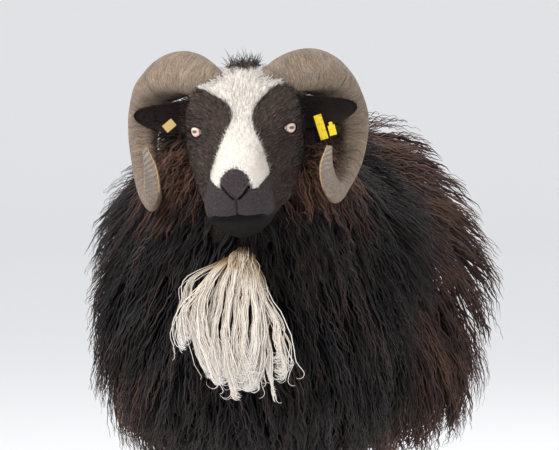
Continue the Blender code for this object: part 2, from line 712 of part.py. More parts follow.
def hoof(name, x, y, inner, finish):
    """One claw: flat below, upright inside, and rounded towards the toe."""
    rings = []
    for height, length, width, back in (
        (0.0, 1.0, 1.0, 0.0), (0.012, 0.98, 0.98, 0.001),
        (0.030, 0.82, 0.92, 0.004), (HOOF_HEIGHT, 0.66, 0.84, 0.007),
    ):  # fmt: skip
        ring = []
        for k in range(10):
            angle = 2 * math.pi * k / 10
            across = math.sin(angle) * HOOF_HALF_WIDTH * width
            if across * inner > 0:
                across *= 0.80
            along = math.cos(angle) * HOOF_HALF_LENGTH * length
            pointed = 1 - 0.30 * max(0.0, -math.cos(angle))
            ring.append(Vector((x + across * pointed, y + along + back, height)))
        rings.append(ring)
    return loft(name, rings, finish)


def tail_frame(share):
    """Centre and core radius of the tail at a share of its length."""
    back = TAIL_BACK * math.sin(min(1.0, share * 2.2) * math.pi / 2) + 0.012 * share
    return TAIL_ROOT + Vector((0.0, back, -TAIL_LENGTH * share)), 0.019 * (1 - 0.5 * share)


def tail_pieces():
    """The core of the tail with tiers of locks round it."""
    sides, steps = 8, 6
    rings = []
    for k in range(steps + 1):
        centre, radius = tail_frame(0.94 * k / steps)
        turns = [2 * math.pi * i / sides for i in range(sides)]
        rings.append([centre + Vector((math.sin(t), 0.8 * math.cos(t), 0.0)) * radius for t in turns])
    core = loft("tail", rings, WOOL, end=tail_frame(0.98)[0])
    made = []
    for tier, start in enumerate((0.10, 0.34, 0.58)):
        for k in range(5):
            turn = math.radians(-110 + 55 * k + 20 * (tier % 2))
            path, outs = [], []
            for step in range(13):
                t = step / 12
                centre, radius = tail_frame(min(1.0, start + 0.42 * t))
                out = Vector((math.sin(turn), 0.8 * math.cos(turn), 0.0))
                depth = radius * 0.72 + TAIL_COAT * rise(t, -0.1, 0.8) * (1 - 0.3 * t)
                path.append(centre + out * depth)
                outs.append(out)
            made.append(flat_lock(path, outs, 0.026, 0.008, WOOL))
    return core, made


for old in list(bpy.data.objects):
    bpy.data.objects.remove(old)

WOOL = material("black wool", (0.012, 0.011, 0.012), 0.9)
HAIR = material("black face hair", (0.022, 0.018, 0.017), 0.8)
HORN = material("weathered horn", (0.28, 0.21, 0.16), 0.55)
SOCK = material("white leg hair", (0.80, 0.76, 0.70), 0.8)
CLAW = material("dark hoof horn", (0.06, 0.05, 0.045), 0.5)
EYE = material("pale eye", (0.60, 0.42, 0.32), 0.15)
PLASTIC = material("yellow tag plastic", (0.80, 0.56, 0.03), 0.4)
FLEECE = material("white tuft wool", (0.72, 0.64, 0.52), 0.85)


def build_head():
    """Head, eyes, horns, ears, tags and throat tuft. Returns grown copies of what meets the neck."""
    head = head_loft("head", HAIR)
    around, cuts, above_beard = [inflated(head)], [mouth_cut()], inflated(head)
    combine(head, [lids(side) for side in SIDES.values()], "UNION")
    leaves = {}
    for side_name, side in SIDES.items():
        eye = ball("eye_" + side_name, eye_centre(side), EYE_RADIUS, EYE)
        horns = horn(side_name, HORN)
        leaf = ear("ear_" + side_name, side, HAIR)
        cuts += [inflated(eye), inflated(horns), inflated(leaf), nostril_cut(side)]
        around += [inflated(horns), inflated(leaf)]
        leaves[side] = combine(leaf, [inflated(horns)], "DIFFERENCE")
    combine(head, cuts, "DIFFERENCE")
    keep_largest(head)
    for name, values in TAGS.items():
        made = tag(name)
        combine(leaves[values[0]], [inflated(made)], "DIFFERENCE")
        around.append(inflated(made))
    for leaf in leaves.values():
        keep_largest(leaf)
    beard, hanging = tuft_pieces()
    around += [inflated(piece) for piece in (beard, *hanging)]
    combine(beard, hanging, "UNION")
    combine(beard, [above_beard], "DIFFERENCE")
    keep_largest(beard)
    return around


def build_legs():
    """Legs and hooves. Returns grown copies of the legs."""
    around = []
    pairs = (("fore", FORE_SPREAD, FORE_STATIONS), ("hind", HIND_SPREAD, HIND_STATIONS))
    for side_name, side in SIDES.items():
        for pair, spread, stations in pairs:
            limb = leg(f"{pair}leg_{side_name}", stations, spread, side, SOCK)
            around.append(inflated(limb))
            foot = stations[-1][1] - 0.012
            for claw_name, inner in (("outer", -1), ("inner", 1)):
                x = side * (spread - inner * (HOOF_HALF_WIDTH + 0.0008))
                hoof(f"hoof_{pair}_{side_name}_{claw_name}", x, foot, inner * -side, CLAW)
    return around


def build_trunk(around_head, around_legs):
    """Torso, neck and tail. The torso gives way to the neck, the legs and the tail."""
    dock, hanging = tail_pieces()
    torso = trunk("torso", CORE_DEPTH, WOOL, end=PARTING - PARTING_GAP)
    neck = trunk("neck", CORE_DEPTH, WOOL, start=PARTING + PARTING_GAP)
    around = [inflated(piece) for piece in (neck, dock, *hanging)]
    around += trunk_locks(PARTING, LOCK_LAST, GAP)
    combine(torso, list(trunk_locks(0.0, PARTING)), "UNION")
    combine(torso, [*around, *around_legs], "DIFFERENCE")
    keep_largest(torso)
    combine(neck, list(trunk_locks(PARTING, LOCK_LAST)), "UNION")
    combine(neck, around_head, "DIFFERENCE")
    keep_largest(neck)
    combine(dock, hanging, "UNION")


def settle():
    """Moves everything so that the origin is at the middle of the box round the ram, on the floor."""
    corners = [vert.co for made in bpy.data.objects for vert in made.data.vertices]
    low = Vector([min(corner[k] for corner in corners) for k in range(3)])
    high = Vector([max(corner[k] for corner in corners) for k in range(3)])
    shift = Vector((-(low.x + high.x) / 2, -(low.y + high.y) / 2, -low.z))
    for made in bpy.data.objects:
        made.data.transform(Matrix.Translation(shift))


build_trunk(build_head(), build_legs())
settle()
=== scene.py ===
"""A horned mountain ram as a life-size still model, in metres with +Z up.

The ram faces -Y and its left side is +X. Everything is placed from the middle of its eyes.
"""

import math

import bpy
import numpy as np
from mathutils import Matrix, Vector


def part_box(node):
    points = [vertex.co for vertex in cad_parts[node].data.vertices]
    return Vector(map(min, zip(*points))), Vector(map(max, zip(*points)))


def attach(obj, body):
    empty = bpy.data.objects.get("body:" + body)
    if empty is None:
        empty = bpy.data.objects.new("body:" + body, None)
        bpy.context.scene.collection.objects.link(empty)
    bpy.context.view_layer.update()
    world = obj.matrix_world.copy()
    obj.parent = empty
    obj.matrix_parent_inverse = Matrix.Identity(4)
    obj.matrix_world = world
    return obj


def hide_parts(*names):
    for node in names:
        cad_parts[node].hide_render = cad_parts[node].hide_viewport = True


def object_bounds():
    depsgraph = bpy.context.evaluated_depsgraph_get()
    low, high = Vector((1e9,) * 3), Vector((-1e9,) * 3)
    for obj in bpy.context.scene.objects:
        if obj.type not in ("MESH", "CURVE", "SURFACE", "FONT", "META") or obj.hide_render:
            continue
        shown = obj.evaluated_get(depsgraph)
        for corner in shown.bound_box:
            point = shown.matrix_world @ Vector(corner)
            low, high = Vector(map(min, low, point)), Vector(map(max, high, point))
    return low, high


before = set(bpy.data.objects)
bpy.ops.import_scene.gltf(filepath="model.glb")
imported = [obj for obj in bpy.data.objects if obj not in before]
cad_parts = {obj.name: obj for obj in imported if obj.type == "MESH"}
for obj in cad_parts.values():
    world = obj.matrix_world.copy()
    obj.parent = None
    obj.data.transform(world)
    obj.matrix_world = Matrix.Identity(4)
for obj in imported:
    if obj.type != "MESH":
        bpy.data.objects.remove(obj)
cad_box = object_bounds()


# Camera: a long lens at the height of the ram's eyes, a little to the ram's left, as in the
# photograph. The middle of the eyes lies at EYES_PIXEL in a picture of 559 by 450 pixels.

PICTURE_WIDTH, PICTURE_HEIGHT = 559, 450
EYES_PIXEL = (243.5, 128)
LENS_PIXELS = 3600  # focal length
CAMERA_DISTANCE = 4.5
CAMERA_BEARING = math.radians(10)
SENSOR_MM = 36


def middle_of(node):
    low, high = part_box(node)
    return (Vector(low) + Vector(high)) / 2


eyes = (middle_of("eye_left") + middle_of("eye_right")) / 2
stand = eyes + CAMERA_DISTANCE * Vector((math.sin(CAMERA_BEARING), -math.cos(CAMERA_BEARING), 0))
ahead = (eyes - stand).normalized()
rightwards = ahead.cross(Vector((0, 0, 1))).normalized()
aside = (PICTURE_WIDTH / 2 - EYES_PIXEL[0]) / LENS_PIXELS
below = (PICTURE_HEIGHT / 2 - EYES_PIXEL[1]) / LENS_PIXELS
aim = ahead + rightwards * aside - rightwards.cross(ahead) * below
camera_data = bpy.data.cameras.new("camera")
camera_data.sensor_width = SENSOR_MM
camera_data.lens = LENS_PIXELS / PICTURE_WIDTH * SENSOR_MM
camera = bpy.data.objects.new("camera", camera_data)
camera.location = stand
camera.rotation_euler = aim.to_track_quat("-Z", "Y").to_euler()
bpy.context.scene.collection.objects.link(camera)
bpy.context.scene.camera = camera


# Skin of the head: thin skin with short hair over bone and muscle. It is one closed form along an
# axis that slopes down to the nose, with the lids, nostrils, lips and the hollows before the eyes
# raised or sunk in its surface.

EYE_MIDDLE = np.array((0.035, -0.56, 0.68))  # in the ram's own frame, which all places below use
HOME = np.array(eyes) - EYE_MIDDLE
HEAD_PITCH, HEAD_YAW, HEAD_ROLL = (math.radians(turn) for turn in (31, 7, 2.5))
EYE_A, EYE_U, EYE_V = 0.126, 0.0515, 0.020
EYE_RADIUS = 0.0145
EYE_TURN, EYE_RISE = math.radians(42), 0.27
# Stations: distance back from the nose, top, edge of the nose bone or brow, widest point,
# edge of the jaw, bottom. Pairs are half width and height.
HEAD_STATIONS = (
    (0.006, 0.020, (0.021, 0.011), (0.034, -0.020), (0.028, -0.052), -0.070),
    (0.030, 0.031, (0.025, 0.019), (0.042, -0.027), (0.035, -0.065), -0.088),
    (0.055, 0.039, (0.025, 0.027), (0.042, -0.026), (0.040, -0.066), -0.092),
    (0.085, 0.047, (0.031, 0.036), (0.048, -0.018), (0.049, -0.066), -0.093),
    (0.110, 0.053, (0.043, 0.043), (0.0575, 0.004), (0.055, -0.071), -0.098),
    (0.135, 0.058, (0.058, 0.045), (0.0705, 0.012), (0.061, -0.073), -0.104),
    (0.165, 0.064, (0.057, 0.050), (0.0675, 0.010), (0.063, -0.074), -0.110),
    (0.195, 0.067, (0.050, 0.050), (0.060, 0.000), (0.060, -0.068), -0.104),
    (0.220, 0.056, (0.044, 0.042), (0.053, -0.005), (0.050, -0.055), -0.086),
)
NOSE_ROUND, HEAD_END = 0.020, 0.238
CHIN_BACK = 0.35
MUZZLE_SWING = -0.008  # the nose lies a little to the ram's right of the brow's middle


def turned(matrix, points):
    """Points taken through a 4 by 4 matrix."""
    made = np.array(matrix)
    return points @ made[:3, :3].T + made[:3, 3]


def rise(value, start=0.0, end=1.0):
    """0 before start and 1 after end, with a smooth step between them."""
    share = np.clip((value - start) / (end - start), 0, 1)
    return share * share * (3 - 2 * share)


def hump(value, middle, spread):
    """1 at the middle, falling off smoothly on both sides."""
    return np.exp(-(((value - middle) / spread) ** 2))


def through(places, values, at):
    """Values on a smooth curve through those given at rising places, one row for each of at."""
    places, at = np.asarray(places, float), np.asarray(at, float)
    values = np.asarray(values, float).reshape(len(places), -1)
    index = np.arange(len(places))
    low, high = np.maximum(index - 1, 0), np.minimum(index + 1, len(places) - 1)
    slopes = (values[high] - values[low]) / (places[high] - places[low])[:, None]
    i = np.clip(np.searchsorted(places, at, side="right") - 1, 0, len(places) - 2)
    width = (places[i + 1] - places[i])[:, None]
    t = (at - places[i])[:, None] / width
    return (
        values[i] * (2 * t**3 - 3 * t**2 + 1) + slopes[i] * width * (t**3 - 2 * t**2 + t)
        + values[i + 1] * (3 * t**2 - 2 * t**3) + slopes[i + 1] * width * (t**3 - t**2)
    )


def closed_curve(points, count):
    """count points on smooth closed curves through the given ones: rows, points, coordinates."""
    size = points.shape[1]
    place = np.arange(count) * size / count
    i, t = place.astype(int), (place % 1)[None, :, None]
    before, a, b, after = (points[:, (i + j) % size] for j in (-1, 0, 1, 2))
    bend = (before * 2 - a * 5 + b * 4 - after) * t**2 + (a * 3 - before - b * 3 + after) * t**3
    return (a * 2 + (b - before) * t + bend) / 2


def skin_over(rings, start=None, end=None):
    """Points and triangles of a closed form over rings. start and end are tips, or None if flat."""
    rows, sides = rings.shape[:2]
    points = rings.reshape(-1, 3)
    row, column = np.meshgrid(np.arange(rows - 1), np.arange(sides), indexing="ij")
    here, beside = row * sides + column, row * sides + (column + 1) % sides
    quads = np.stack((here, beside, beside + sides, here + sides), axis=-1).reshape(-1, 4)
    faces = [quads[:, (0, 1, 2)], quads[:, (0, 2, 3)]]
    ring = np.arange(sides)
    for tip, first, turn in ((start, 0, (1, 0, 2)), (end, (rows - 1) * sides, (0, 1, 2))):
        tip = points[first : first + sides].mean(axis=0) if tip is None else np.asarray(tip)
        points = np.vstack((points, tip))
        fan = np.stack((first + ring, first + (ring + 1) % sides, np.full(sides, len(points) - 1)))
        faces.append(fan[list(turn)].T)
    return points, np.vstack(faces)


def new_piece(name, points, triangles, finish=None):
    """An object with a smooth mesh of triangles, given in the ram's own frame."""
    mesh = bpy.data.meshes.new(name)
    mesh.vertices.add(len(points))
    mesh.vertices.foreach_set("co", (points + HOME).astype(np.float32).ravel())
    mesh.loops.add(triangles.size)
    mesh.loops.foreach_set("vertex_index", triangles.astype(np.int32).ravel())
    mesh.polygons.add(len(triangles))
    mesh.polygons.foreach_set("loop_start", np.arange(0, triangles.size, 3, dtype=np.int32))
    mesh.update(calc_edges=True)
    mesh.shade_smooth()
    if finish:
        mesh.materials.append(finish)
    made = bpy.data.objects.new(name, mesh)
    bpy.context.scene.collection.objects.link(made)
    return made


def normals_of(rings):
    """Outward directions of a grid of rings whose points turn the same way."""
    along = np.gradient(rings, axis=0)
    around = np.roll(rings, -1, axis=1) - np.roll(rings, 1, axis=1)
    across = np.cross(around, along)
    return across / np.maximum(np.linalg.norm(across, axis=2, keepdims=True), 1e-12)


level_turn = Matrix.Rotation(HEAD_YAW, 4, "Z") @ Matrix.Rotation(-HEAD_ROLL, 4, "Y")
LEVEL = Matrix.Translation(Vector(EYE_MIDDLE)) @ level_turn  # the head's turn without its slope
HEAD = LEVEL @ Matrix.Rotation(HEAD_PITCH, 4, "X") @ Matrix.Translation((0, -EYE_A, -EYE_V))


def head_sections(a, sides):
    """Outlines of the head at distances a, as rows of half width and height."""
    table = [[s[1], *s[2], *s[3], *s[4], s[5]] for s in HEAD_STATIONS]
    at = np.minimum(a, HEAD_STATIONS[-1][0])
    edges = through([s[0] for s in HEAD_STATIONS], table, at).T
    top, nose_u, nose_v, wide_u, wide_v, jaw_u, jaw_v, low = edges
    middle = np.zeros_like(top)
    across = np.stack((middle, nose_u, wide_u, jaw_u, middle, -jaw_u, -wide_u, -nose_u), axis=1)
    height = np.stack((top, nose_v, wide_v, jaw_v, low, jaw_v, wide_v, nose_v), axis=1)
    return closed_curve(np.stack((across, height), axis=2), sides)


def eye_frame(side):
    """A frame at the middle of an eye: across to the ram's right, along the gaze, and up."""
    turn = HEAD.to_3x3()
    gaze = (turn @ Vector((side * math.sin(EYE_TURN), -math.cos(EYE_TURN), EYE_RISE))).normalized()
    across = gaze.cross(LEVEL.to_3x3() @ Vector((0, 0, 1))).normalized()
    axes = Matrix((across, gaze, across.cross(gaze))).transposed().to_4x4()
    return Matrix.Translation(HEAD @ Vector((side * EYE_U, EYE_A, EYE_V))) @ axes


HEAD_SIDES, NOSE_ROWS, HEAD_ROWS = 300, 44, 190
NOSE_POWER = 2.2  # how squarely the nose is rounded off
nose_steps = np.linspace(0.02, 1, NOSE_ROWS)
head_a = NOSE_ROUND * (1 - (1 - nose_steps**2) ** (1 / NOSE_POWER))
head_a = np.concatenate((head_a, np.linspace(NOSE_ROUND, HEAD_END - 0.001, HEAD_ROWS)[1:]))
outline = head_sections(head_a, HEAD_SIDES)
centre_v = outline[:, :, 1].mean(axis=1, keepdims=True)
front = np.sqrt(1 - (1 - np.minimum(1, head_a / NOSE_ROUND)) ** NOSE_POWER)
back = np.sqrt(np.maximum(0, 1 - rise(head_a, HEAD_STATIONS[-1][0], HEAD_END + 0.004) ** 2))
size = (front * back)[:, None]
u = outline[:, :, 0] * size
v = centre_v + (outline[:, :, 1] - centre_v) * size
drop = np.maximum(0, centre_v - v) * rise(0.06 - head_a, 0, 0.06)[:, None]
a = head_a[:, None] + CHIN_BACK * drop
head_rings = np.stack((u, a, v), axis=2)
outward = normals_of(head_rings)
half = np.abs(u)

# Muzzle: puffed upper lips parted by a groove, a mouth line over a chin that lies a little behind
# it, and slit nostrils under a rounded rim that run down to meet in a V.
MOUTH_DOWN, MOUTH_SLOPE, MOUTH_BEND, MOUTH_HALF_WIDTH = 0.0335, 0.10, 0.004, 0.030
SLIT_FROM, SLIT_LONG, SLIT_DOWN, SLIT_CLIMB = 0.002, 0.0195, 0.0062, 0.0138


def above_mouth(half, a, v):
    """How far places lie above the line of the mouth."""
    return v + MOUTH_DOWN + MOUTH_SLOPE * a + MOUTH_BEND * (half / MOUTH_HALF_WIDTH) ** 2


def below_nostril(half, v):
    """How far places lie below a nostril's slit, how surely along it, and how open it is."""
    slit = (half - SLIT_FROM) / SLIT_LONG
    height = -SLIT_DOWN + SLIT_CLIMB * rise(slit, -0.05, 0.92)
    return height - v, rise(slit, -0.05, 0.10) * (1 - rise(slit, 0.88, 1.06)), rise(slit, 0.2, 0.8)


mouth = above_mouth(half, a, v)
mouth_fade = 1 - rise(half, 0.026, 0.036)
front_part = 1 - rise(a, 0.028, 0.040)
# The line of the mouth, the roll of the upper lips over it, the chin under it and their groove.
raised = -0.0095 * hump(mouth, -0.0016, 0.0020) * mouth_fade * front_part
raised += (
    0.0032 * hump(mouth, 0.0080, 0.0075) * rise(half, 0.002, 0.013)
    * (1 - rise(half, 0.020, 0.034)) * front_part
)
raised -= 0.0070 * hump(mouth, -0.0060, 0.0050) * mouth_fade * front_part
raised -= (
    0.0026 * hump(half, 0, 0.0012) * rise(mouth, -0.001, 0.001)
    * (1 - rise(v, -0.0085, -0.0045)) * front_part
)
# The nostrils' slits, and the rim over each.
below_slit, in_slit, slit_open = below_nostril(half, v)
in_slit = in_slit * (1 - rise(a, 0.020, 0.034))
raised -= 0.0075 * hump(below_slit, 0.0006, 0.0010 + 0.0016 * slit_open) * in_slit
raised += 0.0022 * hump(below_slit, -0.0036, 0.0019) * in_slit

# Soft forms of the cheeks: how far each stands out, its middle and spread back from the nose, the
# same in height, and the half widths between which it comes in.
CHEEK_FORMS = (
    (0.0006, 0.026, 0.012, -0.022, 0.018, 0.020, 0.036),  # pads of the lips
    (-0.0042, 0.060, 0.016, -0.026, 0.026, 0.020, 0.036),  # narrowing behind the lips
    (-0.0030, 0.094, 0.014, 0.008, 0.013, 0.020, 0.040),  # hollow in front of the eye
    (0.0034, 0.142, 0.016, 0.043, 0.009, 0.030, 0.050),  # brow
    (0.0024, 0.095, 0.030, -0.008, 0.008, 0.030, 0.045),  # ridge of bone under the eye
    (-0.0024, 0.072, 0.026, 0.016, 0.010, 0.020, 0.032),  # hollow above the ridge
    (-0.0034, 0.085, 0.032, -0.036, 0.013, 0.030, 0.045),  # hollow below the ridge
)
for stand_out, back_at, back_spread, up_at, up_spread, half_from, half_to in CHEEK_FORMS:
    form = stand_out * hump(a, back_at, back_spread) * hump(v, up_at, up_spread)
    raised += form * rise(half, half_from, half_to)
head_rings = head_rings + outward * raised[:, :, None]


def swung(a):
    """How far the muzzle lies to one side at a distance from the nose."""
    return MUZZLE_SWING * (1 - rise(a, 0.0, EYE_A))


head_rings[:, :, 0] += swung(head_rings[:, :, 1])
head_rings = turned(HEAD, head_rings)

# Lids: a rim that stands proud of the eyeball round a nearly round opening, which runs out
# into a point on the side of the nose.
LID_HALF_WIDTH, LID_HALF_HEIGHT, LID_CORNER = 0.0086, 0.0068, 0.0100
LID_THICK = 0.0016


def lid_opening(side, local):
    """How far out places are from the middle of the eye, where 1 is on the edge of the lids."""
    x = local[..., 0] * side
    width = np.where(x > 0, LID_CORNER, LID_HALF_WIDTH)
    power = np.where(x > 0, 1.7, 2.0)
    height = np.where(local[..., 2] > 0, 0.84, 1.0) * LID_HALF_HEIGHT  # the upper lid hangs lower
    return (np.abs(x / width) ** power + np.abs(local[..., 2] / height) ** power) ** (1 / power)


for side in (1, -1):
    eye = eye_frame(side)
    local = turned(eye.inverted(), head_rings)
    x, y, z = local[:, :, 0], local[:, :, 1], local[:, :, 2]
    near = (y > 0.002) & (np.hypot(x, z) < 0.03)
    opening = lid_opening(side, local)
    snap = np.where(np.abs(opening - 1) < 0.16, np.where(opening < 1, 0.97, 1.03) / opening, 1)
    x, z = np.where(near, x * snap, x), np.where(near, z * snap, z)
    flat = x * x + z * z
    sunk = np.sqrt(np.maximum((EYE_RADIUS - 0.0025) ** 2 - flat, 1e-6))
    proud = np.sqrt(np.maximum((EYE_RADIUS + LID_THICK) ** 2 - flat, 1e-6))
    lid = proud + (y - proud) * rise(opening, 1.35, 2.0)
    lid = np.where(opening > 1.35, np.maximum(lid, y), lid)
    y = np.where(near, np.where(opening < 1, sunk, lid), y)
    head_rings = turned(eye, np.stack((x, y, z), axis=2))

nose_tip = turned(HEAD, np.array((MUZZLE_SWING, 0.0, -0.017)))
nape = turned(HEAD, np.array((0.0, HEAD_END, -0.01)))
head_skin = new_piece("skin", *skin_over(head_rings, nose_tip, nape))


# Ears: cupped leaves of gristle under thin skin with short hair. They stand out sideways from
# under the horns, hollow side ahead and down, and their roots are buried in the head.

EAR_ROOT_U, EAR_ROOT_BACK, EAR_ROOT_UP = 0.054, 0.044, 0.024
EAR_LENGTH, EAR_HALF_WIDTH, EAR_THICK = 0.088, 0.0215, 0.0035
EAR_BACK, EAR_DROP, EAR_SAG = 0.018, 0.003, 0.0045
EAR_CUP, EAR_TWIST = 0.013, 0.010
EAR_BURIED = 0.012  # how far its root goes on into the head


def ear_rings(side, rows=60, columns=26):
    """Rings along one ear, from its root out, each down its hollow side and back up the other."""
    along = np.linspace(0, 0.997, rows)[:, None]
    across = np.linspace(-1, 1, columns)[None, :]
    narrow = np.where(across > 0, -0.12, 0.50)  # how much its root narrows
    width = EAR_HALF_WIDTH * (1 - narrow * (1 - rise(along, 0.0, 0.40))) * np.sqrt(1 - along**2.6)
    lift = across * width
    x = EAR_ROOT_U - EAR_BURIED + (EAR_LENGTH + EAR_BURIED) * along + 0 * across
    cup = EAR_CUP * (1 - 0.75 * along) * (1 - across**2)
    y = EAR_ROOT_BACK + EAR_BACK * along + cup - EAR_TWIST * lift / EAR_HALF_WIDTH
    z = EAR_ROOT_UP - EAR_DROP - EAR_SAG * np.sin(np.pi * along) + lift
    half = (EAR_THICK / 2) * (1 - 0.5 * across**2) * (1 - 0.55 * along)
    inner = np.stack((side * x, y - half, z), axis=2)
    outer = np.stack((side * x, y + half, z), axis=2)[:, ::-1]
    return turned(LEVEL, np.concatenate((inner, outer), axis=1))


ears = [new_piece("ear", *skin_over(ear_rings(side))) for side in (1, -1)]


# Skin of the body, under the wool: neck and torso are one bent form, with four slim legs and the
# core of a long tail. Only the legs show, where their hair is short and white.

# Trunk stations, rump to poll: centre, then half width, height above and height below of the
# flesh, and the same out to the tips of the wool.
TRUNK_STATIONS = (
    ((0.000, 0.400, 0.500), (0.030, 0.040, 0.050), (0.105, 0.105, 0.140)),
    ((0.000, 0.365, 0.490), (0.085, 0.100, 0.110), (0.195, 0.190, 0.250)),
    ((0.000, 0.280, 0.460), (0.125, 0.165, 0.120), (0.252, 0.250, 0.265)),
    ((0.000, 0.150, 0.425), (0.150, 0.205, 0.105), (0.285, 0.300, 0.235)),
    ((0.000, 0.010, 0.415), (0.160, 0.215, 0.095), (0.286, 0.312, 0.228)),
    ((0.000, -0.120, 0.430), (0.150, 0.205, 0.105), (0.254, 0.295, 0.240)),
    ((0.000, -0.220, 0.455), (0.138, 0.195, 0.120), (0.231, 0.280, 0.262)),
    ((0.002, -0.300, 0.490), (0.125, 0.180, 0.140), (0.215, 0.260, 0.282)),
    ((0.012, -0.365, 0.545), (0.105, 0.140, 0.130), (0.180, 0.200, 0.222)),
    ((0.022, -0.420, 0.600), (0.090, 0.095, 0.095), (0.148, 0.135, 0.155)),
    ((0.029, -0.465, 0.645), (0.078, 0.080, 0.070), (0.124, 0.108, 0.112)),
    ((0.033, -0.500, 0.672), (0.070, 0.062, 0.055), (0.104, 0.084, 0.080)),
)
FLESH_ROUND, COAT_ROUND_ABOVE, COAT_ROUND_BELOW = 2.0, 1.7, 2.8
RUMP_ROUND, RUMP_COAT = 0.012, 0.045  # how far the rump bulges, and its wool
SKIN_DEPTH = 0.30  # the skin lies at this share of the way from the flesh to the wool's tips
FRAME_STEPS = 400

trunk_places = np.arange(len(TRUNK_STATIONS)) / (len(TRUNK_STATIONS) - 1)
trunk_table = [np.ravel(station) for station in TRUNK_STATIONS]
fine_shares = np.linspace(0, 1, FRAME_STEPS + 1)
fine = through(trunk_places, trunk_table, fine_shares)
centres = fine[:, :3]
before = through(trunk_places, trunk_table, np.maximum(0, fine_shares - 0.02))[:, :3]
after = through(trunk_places, trunk_table, np.minimum(1, fine_shares + 0.02))[:, :3]
trunk_along = (after - before) / np.linalg.norm(after - before, axis=1, keepdims=True)
trunk_up = np.cross((1.0, 0.0, 0.0), -trunk_along)
trunk_up /= np.linalg.norm(trunk_up, axis=1, keepdims=True)
trunk_frames = np.hstack((centres, -np.cross(trunk_along, trunk_up), trunk_up, fine[:, 3:]))


def trunk_point(share, angle, depth):
    """Points on the trunk. angle is 0 on top and grows to the ram's left.

    depth is 0 on the flesh and 1 at the tips of the wool. All three are arrays of one shape.
    """
    at = np.clip(share, 0, 1) * FRAME_STEPS
    i = np.minimum(at.astype(int), FRAME_STEPS - 1)
    t = (at - i)[..., None]
    row = trunk_frames[i] * (1 - t) + trunk_frames[i + 1] * t
    sideways, height = np.sin(angle), np.cos(angle)
    point = row[..., 0:3].copy()
    for first, part, above, under in (
        (9, 1 - depth, FLESH_ROUND, FLESH_ROUND),
        (12, depth, COAT_ROUND_ABOVE, COAT_ROUND_BELOW),
    ):
        power = 2 / np.where(height > 0, above, under)
        tall = np.where(height > 0, row[..., first + 1], row[..., first + 2])
        wide = row[..., first] * np.sign(sideways) * np.abs(sideways) ** power * part
        high = tall * np.sign(height) * np.abs(height) ** power * part
        point += row[..., 3:6] * wide[..., None] + row[..., 6:9] * high[..., None]
    return point


def trunk_rings(depth, shares, sides=72):
    """Rings round the trunk at one depth, from the rump forwards."""
    grid = np.meshgrid(shares, np.linspace(0, 2 * np.pi, sides, endpoint=False), indexing="ij")
    return trunk_point(*grid, np.full_like(grid[0], depth))


rump = centres[0] + (0, RUMP_ROUND + RUMP_COAT * SKIN_DEPTH, 0)
body_rings = trunk_rings(SKIN_DEPTH, np.linspace(0, 1, 90))
body = new_piece("body", *skin_over(body_rings, rump, centres[-1]))

# Legs: half the distance between a pair, and stations down each one: height, place along the
# body, half width, half depth. The knee, hock and pastern swell and narrow with them.
LEGS = {
    "fore": (0.088, (
        (0.400, -0.215, 0.0400, 0.0580), (0.340, -0.222, 0.0380, 0.0460),
        (0.290, -0.232, 0.0300, 0.0340), (0.245, -0.240, 0.0235, 0.0260),
        (0.220, -0.243, 0.0245, 0.0265), (0.190, -0.242, 0.0190, 0.0200),
        (0.140, -0.240, 0.0150, 0.0165), (0.100, -0.240, 0.0170, 0.0190),
        (0.082, -0.240, 0.0200, 0.0220), (0.062, -0.247, 0.0185, 0.0190),
        (0.043, -0.256, 0.0225, 0.0225),
    )),
    "hind": (0.098, (
        (0.430, 0.245, 0.0460, 0.0850), (0.360, 0.250, 0.0420, 0.0720),
        (0.305, 0.275, 0.0330, 0.0500), (0.265, 0.298, 0.0250, 0.0350),
        (0.238, 0.307, 0.0225, 0.0300), (0.205, 0.300, 0.0190, 0.0235),
        (0.150, 0.288, 0.0155, 0.0180), (0.108, 0.280, 0.0170, 0.0190),
        (0.086, 0.277, 0.0200, 0.0220), (0.064, 0.269, 0.0185, 0.0190),
        (0.043, 0.260, 0.0225, 0.0225),
    )),
}


def leg_rings(pair, side, rows=70, sides=32):
    """Rings up one leg, from the hoof to where it goes into the trunk."""
    spread, stations = LEGS[pair]
    rising = stations[::-1]
    heights = np.linspace(rising[0][0] + 0.0004, rising[-1][0], rows)
    place, width, deep = through([s[0] for s in rising], [s[1:] for s in rising], heights).T[:, :, None]
    turn = np.linspace(0, 2 * np.pi, sides, endpoint=False)[None, :]
    # A shin is a rounded triangle: narrow ahead, with the sinew standing out behind.
    sinew = 0.12 * hump(heights[:, None], 0.145, 0.05) * hump(turn, 0, 0.5)
    x = side * spread + width * np.sin(turn)
    y = place + deep * np.cos(turn) * (1 + sinew)
    return np.stack((x, y, heights[:, None] + 0 * turn), axis=2)


legs = [new_piece("leg", *skin_over(leg_rings(pair, side))) for pair in LEGS for side in (1, -1)]

TAIL_ROOT = np.array((0.0, 0.405, 0.560))
TAIL_LENGTH, TAIL_BACK, TAIL_CORE, TAIL_COAT = 0.300, 0.045, 0.019, 0.024


def tail_line(share):
    """Points down the middle of the tail, and its core's radius."""
    back = TAIL_BACK * np.sin(np.minimum(1, share * 2.2) * np.pi / 2) + 0.012 * share
    line = np.stack((0 * share, back, -TAIL_LENGTH * share), axis=-1) + TAIL_ROOT
    return line, TAIL_CORE * (1 - 0.5 * share)


dock_shares = np.linspace(0, 0.96, 30)
dock_turns = np.linspace(0, 2 * np.pi, 20, endpoint=False)
dock_line, dock_radius = tail_line(dock_shares)
dock_ring = np.stack((np.sin(dock_turns), 0.8 * np.cos(dock_turns), 0 * dock_turns), axis=1)
dock_rings = dock_line[:, None] + dock_ring[None] * dock_radius[:, None, None]
dock = new_piece("dock", *skin_over(dock_rings))


